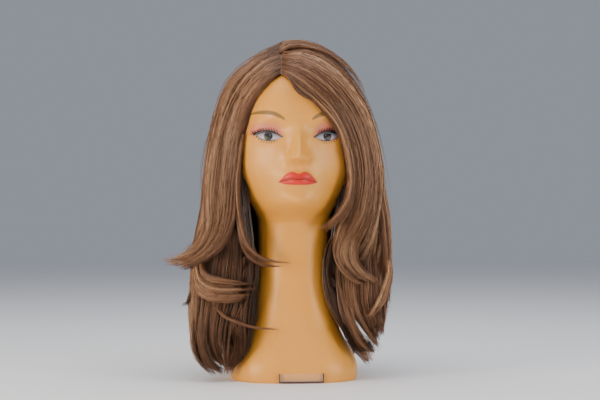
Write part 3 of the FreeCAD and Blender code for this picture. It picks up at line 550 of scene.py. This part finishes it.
def strands(
    name, guides, count, locks,
    depth=9, width=1.0, tone=0.5, cut=0.12, pull=0.75, segments=13, frizz=0.5, wave=1.0,
):
    """A sheet of hair as tapered fibres, in locks of uneven depth and tone.

    Depth and width are millimetres. Tone runs from 0, dark, to 1, light. Cut is the uneven share of the
    length, pull how far the fibres gather at the tips, and frizz and wave scale the small and large bends.
    """
    grid = np.stack([even_path(guide, 40) for guide in guides])
    last = len(guides) - 1
    lock_at = np.sort(RNG.uniform(0, last, locks))
    lock_tone = RNG.normal(0, 0.13, locks)
    lock_cut = RNG.uniform(0, cut, locks)
    lock_depth = RNG.uniform(-0.8, 0.5, locks)
    lock_phase = RNG.normal(0, 0.7, locks)
    lock_wave = RNG.uniform(0.6, 1.5, locks)
    root = RNG.uniform(0, last, count)
    which = np.abs(root[:, None] + RNG.normal(0, 0.10, (count, 1)) - lock_at[None]).argmin(1)
    end = 1 - lock_cut[which] - RNG.uniform(0, 0.6 * cut, count)
    along = np.linspace(0, 1, segments + 1)[None] * end[:, None]
    gather = pull * ramp(along, 0.12, 0.95) * RNG.uniform(0.6, 1, count)[:, None]
    across = root[:, None] + (lock_at[which] - root)[:, None] * gather
    phase = (1.1 * lock_at + lock_phase)[which][:, None]
    swell = (lock_wave[which] * wave)[:, None] * ramp(along, 0.2, 0.8)
    across = across + WAVE_SWAY * swell * np.cos(along * WAVE_TURN + phase)
    places = between(grid, across, along)
    away = outwards(grid, across, along)
    sink = RNG.uniform(-1, 0, count)[:, None]
    lie = sink * depth * (0.25 + 0.75 * ramp(along, 0, 0.25)) * (1 - 0.5 * gather)
    lift = lock_depth[which][:, None] * 0.4 * depth * ramp(along, 0.1, 0.6)
    lift = lift + WAVE_HEIGHT * swell * np.sin(along * WAVE_TURN + phase)
    bend = RNG.normal(0, 0.35 * frizz, (count, 1))
    waves = bend * np.sin(along * RNG.uniform(6, 22, (count, 1)) + root[:, None] * 9)
    places = places + away * (lie + lift + 1.6 * waves)[..., None]
    drift = np.cumsum(RNG.normal(0, 0.22 * frizz, places.shape), axis=1) * ramp(along, 0.05, 0.6)[..., None]
    places = places + drift
    from_crown = np.hypot(places[..., 0], places[..., 1] - CROWN_BACK)
    places[..., 2] += CROWN_LIFT * hump(from_crown, CROWN_SPREAD)
    places[..., 2] = np.maximum(places[..., 2], LOWEST_TIP)
    tone_and_painted_shade = tone + lock_tone[which] + RNG.normal(0, 0.11, count)
    # darker at the roots and lighter towards the tips, and painted darker the deeper a fibre lies in its
    # sheet: painted shade inside the hair
    tone_and_painted_shade = tone_and_painted_shade[:, None] - 0.20 * (1 - ramp(along, 0, 0.12)) + 0.10 * along + 0.05 * lie * (9 / depth)
    taper = 1 - 0.75 * ramp(along / along[:, -1:], 0.55, 1)
    radius = 0.5 * width * RNG.uniform(0.7, 1.2, count)[:, None] * taper
    return tubes(name, places * MM, away, radius * MM, blend_tone(tone_and_painted_shade))


def bake_cells(mesh, count, rings):
    """Give each fibre a cell of its own in the map that its colours are baked to."""
    across = math.ceil(math.sqrt(count))
    strand = np.arange(count)
    corner = np.arange(3)[None, :, None]
    ring = np.arange(rings - 1)[:, None, None]
    u = (corner + np.array([0, 1, 1, 0])[None, None]) / 3 + 0 * ring
    v = (ring + np.array([0, 0, 1, 1])[None, None]) / (rings - 1) + 0 * corner
    inside = np.stack([u, v], axis=-1).reshape(1, -1, 2) * 0.8 + 0.1
    cell = np.stack([strand % across, strand // across], axis=1)[:, None]
    sides = (inside + cell) / across
    root = (np.array([[0.9, 0.1], [0.5, 0.16], [0.1, 0.1]])[None] + cell) / across
    tip = (np.array([[0.1, 0.9], [0.5, 0.84], [0.9, 0.9]])[None] + cell) / across
    layer = mesh.uv_layers.new(name="OFBake")
    layer.uv.foreach_set("vector", np.concatenate([sides.ravel(), root.ravel(), tip.ravel()]))


def tubes(name, places, away, radius, colours):
    """Three-sided tapered tubes along rows of places, with a colour for each ring."""
    count, rings = places.shape[:2]
    flow = np.gradient(places, axis=1)
    flow /= np.linalg.norm(flow, axis=-1, keepdims=True) + 1e-12
    side = np.cross(flow, away)
    side /= np.linalg.norm(side, axis=-1, keepdims=True) + 1e-12
    up = np.cross(side, flow)
    turns = np.radians([90, 210, 330])
    corners = [places + radius[..., None] * (side * math.cos(a) + up * math.sin(a)) for a in turns]
    points = np.stack(corners, axis=2).reshape(-1, 3)
    first = (np.arange(count) * rings * 3)[:, None, None] + (np.arange(rings - 1) * 3)[None, :, None]
    corner = np.arange(3)[None, None]
    after = (corner + 1) % 3
    quads = np.stack([first + corner, first + after, first + after + 3, first + corner + 3], axis=-1)
    quads = quads.reshape(-1, 4)
    starts = np.arange(count) * rings * 3
    roots = np.stack([starts + 2, starts + 1, starts], axis=1)
    tips = np.stack([starts, starts + 1, starts + 2], axis=1) + (rings - 1) * 3
    loops = np.concatenate([quads.ravel(), roots.ravel(), tips.ravel()])
    sizes = np.concatenate([np.full(len(quads), 4), np.full(2 * count, 3)])
    mesh = bpy.data.meshes.new(name)
    mesh.vertices.add(len(points))
    mesh.vertices.foreach_set("co", points.ravel())
    mesh.loops.add(len(loops))
    mesh.loops.foreach_set("vertex_index", loops)
    mesh.polygons.add(len(sizes))
    mesh.polygons.foreach_set("loop_start", np.concatenate([[0], np.cumsum(sizes)[:-1]]))
    mesh.polygons.foreach_set("use_smooth", np.ones(len(sizes), bool))
    mesh.update(calc_edges=True)
    layer = mesh.color_attributes.new("fibre_tone_and_shade", "FLOAT_COLOR", "POINT")
    rows = np.repeat(colours.reshape(-1, 3), 3, axis=0)
    layer.data.foreach_set("color", np.hstack([rows, np.ones((len(rows), 1))]).ravel())
    bake_cells(mesh, count, rings)
    return link_mesh(name, mesh)


# ---- Materials ----


def traced(tree, side, stations):
    """The height of a line on the face, in millimetres, at a distance from the middle line."""
    xs, zs = [p[0] for p in stations], [p[1] for p in stations]
    low, high = min(zs) - 1, max(zs) + 1
    share = add(tree, "MapRange", {0: side, 1: xs[0], 2: xs[-1]})
    curve = add(tree, "FloatCurve", {"Value": share})
    line = curve.node.mapping.curves[0]
    for x, z in stations[1:-1]:
        line.points.new((x - xs[0]) / (xs[-1] - xs[0]), (z - low) / (high - low))
    line.points[0].location = (0, (zs[0] - low) / (high - low))
    line.points[-1].location = (1, (zs[-1] - low) / (high - low))
    curve.node.mapping.update()
    return add(tree, "MapRange", {0: curve, 3: low, 4: high})


def painted_vinyl():
    """Rotationally moulded vinyl, sprayed skin tone, with the face airbrushed and printed on it.

    It gives a soft satin shine over an even ochre skin, with crisp dark lids and bright red lips.
    """
    material, tree, shader, places = new_material("painted_vinyl")
    scaled = add(tree, "VectorMath", {0: places, 1: (1000, 1000, 1000)}, operation="MULTIPLY")
    x, y, z = add(tree, "SeparateXYZ", {0: scaled}).node.outputs
    side = add(tree, "Math", {0: x}, operation="ABSOLUTE")

    def less(one, other):
        """One value less another."""
        return add(tree, "Math", {0: one, 1: other}, operation="SUBTRACT")

    upper, lower = traced(tree, side, UPPER_LID), traced(tree, side, LOWER_LID)
    brow = traced(tree, side, BROW)
    top, line, bottom = (traced(tree, side, stations) for stations in (LIP_TOP, LIP_LINE, LIP_BOTTOM))
    over, under = less(z, upper), less(z, lower)

    cloud = add(tree, "TexNoise", {"Vector": places, "Scale": 14.0, "Detail": 3.0, "Roughness": 0.5})
    tones = {0: cloud, 6: linear(SKIN_DEEP), 7: linear(SKIN)}
    colour = add(tree, "Mix", tones, data_type="RGBA", output=2)

    def lay(paint, strength, *edges):
        """Airbrush or print a colour on the front of the face, in a mask with soft edges.

        Each edge is a value, where it is outside and where it is inside.
        """
        mask = 1.0
        for value, outside, inside in (*edges, (y, -38, -44)):
            span = {0: value, 1: outside, 2: inside}
            step = add(tree, "MapRange", span, interpolation_type="SMOOTHSTEP")
            mask = add(tree, "Math", {0: mask, 1: step}, operation="MULTIPLY")
        share = add(tree, "Math", {0: mask, 1: strength}, operation="MULTIPLY")
        return add(tree, "Mix", {0: share, 6: colour, 7: linear(paint)}, data_type="RGBA", output=2)

    # warmth on the cheeks and rose over the lids
    colour = lay("#C07A55", 0.10, (side, 24, 38), (side, 66, 52), (z, 252, 266), (z, 292, 276))
    colour = lay("#C4646A", 0.75, (side, 14, 26), (side, 63, 52), (over, -1, 0.5), (over, 18, 4))

    # the eyes: white, a painted shadow under the upper lid, iris, pupil and catchlight
    opening = ((over, 0.2, -0.3), (under, -0.2, 0.3), (side, 19.2, 19.9), (side, 50.4, 49.6))
    colour = lay("#ABA3AF", 1.0, *opening)
    # painted shadow: the white darkened just under the upper lid, where the lid shades it
    colour = lay("#5C5262", 0.8, (over, -5, -0.8), *opening)
    spot = add(tree, "CombineXYZ", {0: side, 1: z})
    away, glint = (
        add(tree, "VectorMath", {0: spot, 1: (*place, 0)}, operation="DISTANCE", output="Value")
        for place in (IRIS_PLACE, GLINT_PLACE)
    )
    seen = ((over, 0.2, -0.3), (under, -0.4, 0.2))
    colour = lay("#15151D", 1.0, (away, IRIS_RADIUS + 0.6, IRIS_RADIUS), *seen)
    colour = lay("#151821", 1.0, (away, IRIS_RADIUS - 0.4, IRIS_RADIUS - 1.4), (over, 0, -3))
    colour = lay("#030304", 1.0, (away, 3.4, 2.8), *seen)
    colour = lay("#9EA4B8", 0.7, (glint, 0.8, 0.3))

    # lashes lean outwards, further apart than real ones so that they show
    def comb(off_lid, slant, pitch):
        """Slanting lines a pitch in millimetres apart, as a sine from -1 to 1."""
        lean = add(tree, "Math", {0: off_lid, 1: slant, 2: side}, operation="MULTIPLY_ADD")
        turns = add(tree, "Math", {0: lean, 1: 2 * math.pi / pitch}, operation="MULTIPLY")
        return add(tree, "Math", {0: turns}, operation="SINE")

    colour = lay("#5A3038", 0.6, (over, -0.2, 0.4), (over, 4.6, 0.4), (side, 22, 32), (side, 58, 51))
    lash = ((comb(over, -0.55, 3.2), -0.4, 0.3), (over, 0, 0.3), (over, 7.2, 3.4))
    colour = lay("#180C12", 1.0, *lash, (side, 20, 26), (side, 58, 54))
    thick = add(tree, "MapRange", {0: side, 1: 19.6, 2: 45, 3: 1.5, 4: 2.9})
    liner = less(over, thick)
    lid = ((over, -1.0, -0.5), (liner, 0.3, -0.3), (side, 17.8, 19.2), (side, 54, 51.4))
    colour = lay("#15101A", 1.0, *lid)
    colour = lay("#2E2630", 0.85, (under, 0.9, 0.3), (under, -1.1, -0.4), (side, 20, 30), (side, 51, 49))
    low_lash = ((comb(under, 0.4, 3.0), 0, 0.7), (under, 0, -0.3), (under, -4.4, -2.2))
    colour = lay("#2C1C24", 0.9, *low_lash, (side, 22, 30), (side, 54, 50))

    apart = add(tree, "Math", {0: less(z, brow)}, operation="ABSOLUTE")
    reach = less(apart, traced(tree, side, BROW_HALF))
    colour = lay("#6F5428", 0.88, (reach, 1.2, -0.8), (side, 14, 18), (side, 61, 56))

    # the lips: the upper lip painted darker just above the line where they meet, as painted shade on its
    # underside, and a dark line where they meet, painted shade in that crease
    below_top, above_bottom = (less(z, top), 0.4, -0.4), (less(z, bottom), -0.4, 0.4)
    mouth_end = (side, 24, 23)
    off_line = less(z, line)
    from_lip_crease = add(tree, "Math", {0: off_line}, operation="ABSOLUTE")
    colour = lay("#C8200F", 1.0, below_top, above_bottom, mouth_end)
    # painted shade on the lower part of the upper lip, which turns down towards the lip line
    colour = lay("#A81C16", 0.45, (off_line, 0, 1), (off_line, 6, 2), below_top, mouth_end)
    # painted shade in the crease where the lips meet
    colour = lay("#6E100E", 0.9, (from_lip_crease, 0.75, 0.25), mouth_end)

    grain = add(tree, "TexNoise", {"Vector": places, "Scale": 900.0, "Detail": 2.0})
    satin = add(tree, "MapRange", {0: cloud, 3: 0.34, 4: 0.44})
    relief = {"Strength": 0.06, "Distance": 0.0003, "Height": grain}
    coat = {
        "Base Color": colour,
        "Roughness": satin,
        "Normal": add(tree, "Bump", relief),
        "IOR": 1.45,
        "Subsurface Weight": 0.35,
        "Subsurface Radius": (1.0, 0.45, 0.2),
        "Subsurface Scale": 0.007,
    }
    fill(tree, shader, coat)
    return material


def fine_grain(name, dark, light, size, roughness, relief, metallic=0.0):
    """An even finish with a fine grain: two close tones, and relief, in patches of a size in millimetres."""
    material, tree, shader, places = new_material(name)
    grain = add(tree, "TexNoise", {"Vector": places, "Scale": 1000 / size, "Detail": 3.0})
    tones = add(tree, "Mix", {0: grain, 6: linear(dark), 7: linear(light)}, data_type="RGBA", output=2)
    worn = add(tree, "MapRange", {0: grain, 3: roughness - 0.06, 4: roughness + 0.08})
    bump = add(tree, "Bump", {"Strength": 0.5, "Distance": relief * MM, "Height": grain})
    coat = {"Base Color": tones, "Roughness": worn, "Normal": bump}
    fill(tree, shader, {**coat, "Metallic": metallic})
    return material


def woven(name, gap, thread, pitch, roughness):
    """Cloth of crossing threads, a pitch in millimetres apart: dark in the gaps, lighter on the threads."""
    material, tree, shader, places = new_material(name)
    x, y, z = add(tree, "SeparateXYZ", {0: places}).node.outputs
    around = add(tree, "Math", {0: x, 1: y}, operation="SUBTRACT")
    rows = []
    for value in (around, z):
        turns = add(tree, "Math", {0: value, 1: 2000 * math.pi / pitch}, operation="MULTIPLY")
        rows.append(add(tree, "Math", {0: turns}, operation="SINE"))
    raised = add(tree, "Math", {0: rows[0], 1: rows[1]}, operation="MAXIMUM")
    share = add(tree, "MapRange", {0: raised, 1: -0.4, 2: 0.8})
    tones = add(tree, "Mix", {0: share, 6: linear(gap), 7: linear(thread)}, data_type="RGBA", output=2)
    bump = add(tree, "Bump", {"Strength": 0.6, "Distance": 0.0004, "Height": share})
    coat = {"Base Color": tones, "Roughness": roughness, "Normal": bump}
    fill(tree, shader, coat)
    return material


# the ticket holder, in metres: its middle, and where the painted shade at its cut ends and the painted shadow
# along its foot start
TICKET_MIDDLE, TICKET_END_SHADE, TICKET_FOOT_SHADOW = 0.005, (0.0250, 0.0258), (0.0034, 0.0026)


def clear_acrylic():
    """Clear bent acrylic: almost unseen in its faces, with painted shade at its cut ends and a painted shadow
    along its foot.
    """
    material, tree, shader, places = new_material("clear_acrylic")
    x, y, z = add(tree, "SeparateXYZ", {0: places}).node.outputs
    off = add(tree, "Math", {0: x, 1: TICKET_MIDDLE}, operation="SUBTRACT")
    aside = add(tree, "Math", {0: off}, operation="ABSOLUTE")
    end = add(tree, "MapRange", {0: aside, 1: TICKET_END_SHADE[0], 2: TICKET_END_SHADE[1]})
    foot = add(tree, "MapRange", {0: z, 1: TICKET_FOOT_SHADOW[0], 2: TICKET_FOOT_SHADOW[1]})
    # painted shade: dark and opaque at the cut ends, and a painted shadow along the foot
    edge = add(tree, "Math", {0: end, 1: foot}, operation="MAXIMUM")
    clear_tint_and_painted_shade = add(tree, "Mix", {0: edge, 6: linear("#FFF6F2"), 7: linear("#4A3038")}, data_type="RGBA", output=2)
    solid = add(tree, "MapRange", {0: edge, 3: 0.03, 4: 1.0})
    fill(tree, shader, {"Base Color": clear_tint_and_painted_shade, "Alpha": solid, "Roughness": 0.06, "IOR": 1.45})
    return material


def fibre(name):
    """Heat-resistant modacrylic wig fibre, drawn smooth: a soft long gloss over mixed browns."""
    material, tree, shader, places = new_material(name)
    tone = add(tree, "Attribute", attribute_name="fibre_tone_and_shade")
    streak = add(tree, "TexNoise", {"Vector": places, "Scale": 160.0, "Detail": 2.0})
    gain = add(tree, "MapRange", {0: streak, 3: 0.72, 4: 1.28})
    tones = {0: tone, 1: gain}
    varied = add(tree, "VectorMath", tones, operation="MULTIPLY")
    gloss = {"Roughness": 0.42, "IOR": 1.5, "Specular IOR Level": 0.45}
    fill(tree, shader, {"Base Color": varied, **gloss})
    return material


# ---- Put together ----


def dress(piece, material, body, slot, *nodes):
    """Give a piece its material and body, and hide the CAD nodes that it stands for."""
    piece.data.materials.clear()
    piece.data.materials.append(material)
    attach(piece, body)
    if nodes:
        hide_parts(*nodes)
    return piece


def roots_of(guides, count, inset):
    """The upper ends of guides, drawn inwards, for the hair that covers the cap below the outer sheets."""
    return [[(x * inset, 8 + (y - 8) * inset, z - 1.5) for x, y, z in guide[:count]] for guide in guides]


# how the fibres of each kind of sheet lie
# the cover, inner and under sheets have low tones: painted shade for hair that lies under other hair
COVER = {"depth": 4, "width": 1.5, "tone": 0.34, "segments": 8, "wave": 0.2}
INNER = {"depth": 12, "width": 1.6, "tone": 0.12, "segments": 8}
UNDER = {**INNER, "tone": 0.25, "cut": 0.3, "wave": 2}
LOWER = {"depth": 14, "width": 0.9, "pull": 0.55, "segments": 11, "wave": 2.2}
LONG = {"depth": 14, "cut": 0.2, "pull": 0.5, "segments": 11, "wave": 2}
BACK = {"depth": 13, "width": 1.2, "tone": 0.42, "cut": 0.24, "pull": 0.5, "segments": 10, "wave": 2.4}
LAYER = {"depth": 8, "width": 1.1, "tone": 0.52, "cut": 0.2, "pull": 0.5, "segments": 10, "wave": 2}
CURL = {"width": 0.8, "segments": 12}
FRONT = {"depth": 12, "width": 0.8, "cut": 0.16, "pull": 0.5, "segments": 12}
PARTED = {"depth": 5, "width": 0.8, "pull": 0.4, "wave": 0.4}
LOOSE = {"depth": -4, "width": 0.35, "pull": 0, "frizz": 1.8}


def make_hair():
    """Every sheet of the wig, from the innermost out."""
    hair = fibre("modacrylic_fibre")
    cover_right = roots_of(FRONT_RIGHT + LONG_RIGHT + BACK_RIGHT[1:], 5, 0.965)
    cover_left = roots_of(FRINGE + LONG_LEFT + mirrored(BACK_RIGHT)[::-1][1:], 5, 0.965)
    back_left, layer_left = mirrored(BACK_RIGHT), mirrored(BACK_LAYER)
    flyaways = FRONT_RIGHT + LONG_RIGHT + BACK_RIGHT + back_left[1:] + LONG_LEFT[::-1] + FRINGE[::-1]
    sheets = [
        strands("cover_hair_right", cover_right, 1800, 60, **COVER),
        strands("cover_hair_left", cover_left, 1800, 60, **COVER),
        strands("inner_hair_right", INNER_RIGHT, 750, 26, **INNER),
        strands("inner_hair_left", INNER_LEFT, 750, 26, **INNER),
        strands("back_under_hair", BACK_UNDER, 1150, 30, **UNDER),
        strands("lower_hair_right", LOW_RIGHT, 1900, 30, tone=0.36, **LOWER),
        strands("lower_hair_left", LOW_LEFT, 1900, 30, tone=0.40, **LOWER),
        strands("long_hair_right", LONG_RIGHT, 2250, 38, tone=0.46, **LONG),
        strands("long_hair_left", LONG_LEFT, 2250, 38, tone=0.48, **LONG),
        strands("back_hair_right", BACK_RIGHT, 1500, 30, **BACK),
        strands("back_hair_left", back_left, 1500, 30, **BACK),
        strands("back_layer_right", BACK_LAYER, 900, 20, **LAYER),
        strands("back_layer_left", layer_left, 900, 20, **LAYER),
        strands("curled_band_right", BAND_RIGHT, 1200, 18, tone=0.6, cut=0.24, pull=0.5, **CURL),
        strands("kicked_layer_left", KICK_LEFT, 1200, 17, cut=0.18, pull=0.45, **CURL),
        strands("front_hair_right", FRONT_RIGHT, 2600, 34, tone=0.54, **FRONT),
        strands("fringe_left", FRINGE, 2600, 34, tone=0.56, **FRONT),
        strands("parting_hair", PARTING_HAIR, 600, 40, cut=0.8, **PARTED),
        strands("cross_lock_left", CROSS_LEFT, 260, 8, depth=8, width=0.7, tone=0.66, cut=0.3, pull=0.4),
        strands("curl_end_right", CURL_END_RIGHT, 160, 4, depth=7, width=0.8, tone=0.2, cut=0.25, pull=0.7),
        strands("cheek_wisp_right", CHEEK_WISP, 150, 8, depth=6, width=0.6, cut=0.14, pull=0.6),
        strands("neck_wisp_right", NECK_WISP, 70, 3, depth=5, width=0.7, tone=0.42, cut=0.2, pull=0.85),
        strands("fringe_wisp", FRINGE_WISP, 80, 4, depth=3, width=0.6, tone=0.3, cut=0.25, pull=0.9),
        strands("flyaway_hair", flyaways, 260, 200, tone=0.6, cut=0.4, **LOOSE),
    ]
    stands_for = {
        "front_hair_right": ("crown_hair_right", "face_layer_right", "flip_curl_right"),
        "fringe_left": ("fringe_sweep", "face_layer_left"),
        "long_hair_right": ("side_layer_right", "end_curl_right"),
        "long_hair_left": ("crown_hair_left", "side_layer_left", "end_curl_left"),
        "back_hair_right": ("crown_hair_back", "back_layer_upper"),
        "back_under_hair": ("back_layer_lower",),
        "lower_hair_right": ("lower_lock_right",),
        "lower_hair_left": ("lower_lock_left",),
        "curled_band_right": ("curl_band_right",),
    }
    for sheet in sheets:
        dress(sheet, hair, "wig", "hair", *stands_for.get(sheet.name, ()))


def sewn_cloth(name, node_name, material, slot):
    """A cloth piece of the cap over the form of its CAD node, with its edges kept crisp."""
    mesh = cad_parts[node_name].data.copy()
    mesh.name = name
    work = bmesh.new()
    work.from_mesh(mesh)
    bmesh.ops.remove_doubles(work, verts=work.verts, dist=0.00001)
    work.to_mesh(mesh)
    work.free()
    mesh.polygons.foreach_set("use_smooth", [True] * len(mesh.polygons))
    mesh.set_sharp_from_angle(angle=math.radians(40))
    return dress(link_mesh(name, mesh), material, "wig", slot, node_name)


def make_wefts(material):
    """The sewn bands of hair that run round the inside of the cap, as the lining shows them."""
    search = node_tree_of("back_panel")
    points, faces = [], []
    for level in np.arange(0.266, 0.372, 0.011):
        hits = []
        for turn in np.radians(np.linspace(118, 242, 40)):
            way = Vector((math.sin(turn), -math.cos(turn), 0))
            hit = search.ray_cast(Vector((0, 0.010, level)), way, 0.12)[0]
            if hit is not None:
                hits.append((hit, way))
        start = len(points)
        for hit, way in hits:
            for depth, rise in ((-0.0001, -0.0012), (-0.0009, -0.0009), (-0.0009, 0.0009), (-0.0001, 0.0012)):
                points.append(hit + way * depth + Vector((0, 0, rise)))
        for i in range(len(hits) - 1):
            a = start + 4 * i
            faces += [(a + j, a + (j + 1) % 4, a + 4 + (j + 1) % 4, a + 4 + j) for j in range(4)]
        faces += [(start + 3, start + 2, start + 1, start), tuple(len(points) - 4 + j for j in range(4))]
    wefts = mesh_object("sewn_wefts", points, faces)
    work = bmesh.new()
    work.from_mesh(wefts.data)
    bmesh.ops.recalc_face_normals(work, faces=work.faces)
    work.to_mesh(wefts.data)
    work.free()
    return dress(wefts, material, "wig", "cap_net")


def make_cap():
    """The cap that the hair is sewn to, its elastic and its combs."""
    net = woven("polyester_cap_net", "#1E1512", "#5E4738", 1.6, 0.7)
    lace = woven("fine_lace", "#4B3528", "#7A5C47", 0.9, 0.6)
    stretch = woven("woven_elastic", "#2A211D", "#66564A", 1.1, 0.75)
    for side in ("left", "right"):
        sewn_cloth("net_side_" + side, "side_panel_" + side, net, "cap_net")
        sewn_cloth("velvet_tab_" + side, "ear_tab_" + side, net, "cap_net")
        sewn_cloth("nape_strap_" + side, "adjuster_strap_" + side, stretch, "elastic")
    sewn_cloth("net_back", "back_panel", net, "cap_net")
    sewn_cloth("nape_elastic", "nape_band", stretch, "elastic")
    sewn_cloth("lace_crown", "crown_panel", lace, "cap_net")
    sewn_cloth("lace_hairline", "lace_front", lace, "cap_net")
    make_wefts(stretch)
    # baked lacquer over spring steel, dark and softly glossy
    lacquer = fine_grain("lacquered_steel", "#241814", "#33231C", 1.5, 0.32, 0.02)
    finish(lacquer, "nape_comb", "temple_comb_left", "temple_comb_right")


def finish(material, *nodes):
    """Give CAD nodes that stay in view their finish."""
    for name in nodes:
        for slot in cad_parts[name].material_slots:
            slot.material = material


def make_base():
    """The finishes of what closes the underside, and of the ticket holder."""
    # pressed wood fibre, matt and speckled
    finish(fine_grain("pressed_fibreboard", "#6E5236", "#A3835C", 0.9, 0.82, 0.12), "base_board")
    # black injection-moulded plastic with a fine spark texture
    finish(fine_grain("black_nylon", "#101113", "#1C1D20", 0.5, 0.5, 0.03), "clamp_socket")
    # bright zinc plating, slightly clouded
    finish(fine_grain("zinc_plated_steel", "#A9ADB2", "#C9CDD1", 2.0, 0.3, 0.01, metallic=1.0), "base_screws")
    finish(clear_acrylic(), "ticket_holder")


def make_stage():
    """A plain pale floor."""
    half = 4.0
    corners = [(-half, -half, 0), (half, -half, 0), (half, half, 0), (-half, half, 0)]
    floor = mesh_object("studio_floor", corners, [(0, 1, 2, 3)])
    material, tree, shader, places = new_material("matt_paper")
    mottle = add(tree, "TexNoise", {"Vector": places, "Scale": 3.0})
    shades = {0: mottle, 6: linear("#F0F1F4"), 7: linear("#F5F5F7")}
    paper = add(tree, "Mix", shades, data_type="RGBA", output=2)
    fill(tree, shader, {"Base Color": paper, "Roughness": 0.7})
    floor.data.materials.append(material)


# the place on the axis that the lights face
LIT_PLACE = Vector((0, 0, 0.22))


def place_facing(name, data, place, target):
    """A light or camera at a place, turned to a target."""
    obj = bpy.data.objects.new(name, data)
    bpy.context.scene.collection.objects.link(obj)
    obj.location = place
    obj.rotation_euler = (target - obj.location).to_track_quat("-Z", "Y").to_euler()
    return obj


def softbox(name, place, size, watts, warmth):
    """A soft rectangular light that faces the head."""
    light = bpy.data.lights.new(name, "AREA")
    light.shape = "RECTANGLE"
    light.size, light.size_y = size
    light.energy = watts
    light.color = linear(warmth)[:3]
    place_facing(name, light, place, LIT_PLACE)


def make_lights():
    """Plain soft studio light: tall boxes at both sides, the right side of the head brighter."""
    softbox("side_light_right", (-1.20, -0.85, 0.14), (0.50, 0.9), 30, "#FFEBCB")
    softbox("side_light_left", (1.15, -0.92, 0.14), (0.40, 0.9), 16, "#FFF1DC")
    softbox("front_light", (-0.4, -2.0, 1.0), (1.6, 1.0), 5, "#FFFAF2")
    softbox("top_light", (0.0, -0.2, 1.6), (2.4, 1.8), 30, "#FFFFFF")
    world = bpy.data.worlds.new("studio_air")
    world.use_nodes = True
    air = world.node_tree.nodes["Background"]
    fill(world.node_tree, air, {"Color": linear("#C6CEDA"), "Strength": 0.5})
    bpy.context.scene.world = world


# the camera's lens in millimetres, and its places in metres
LENS, VIEW_TURN, VIEW_DISTANCE = 81.6, math.radians(4), 1.7
EYE_HEIGHT, AIM_HEIGHT, AIM_ASIDE = 0.205, 0.221, 0.0078


def make_camera():
    """A long-lens view from a little below the eyes, turned slightly to the right side of the head."""
    data = bpy.data.cameras.new("camera")
    data.lens = LENS
    aside, ahead = math.cos(VIEW_TURN), math.sin(VIEW_TURN)
    target = Vector((AIM_ASIDE * aside, -AIM_ASIDE * ahead, AIM_HEIGHT))
    place = (target.x - VIEW_DISTANCE * ahead, target.y - VIEW_DISTANCE * aside, EYE_HEIGHT)
    bpy.context.scene.camera = place_facing("camera", data, place, target)


dress(make_head(), painted_vinyl(), "head", "skin_vinyl", "head_shell")
make_hair()
make_cap()
make_base()
make_stage()
make_lights()
make_camera()
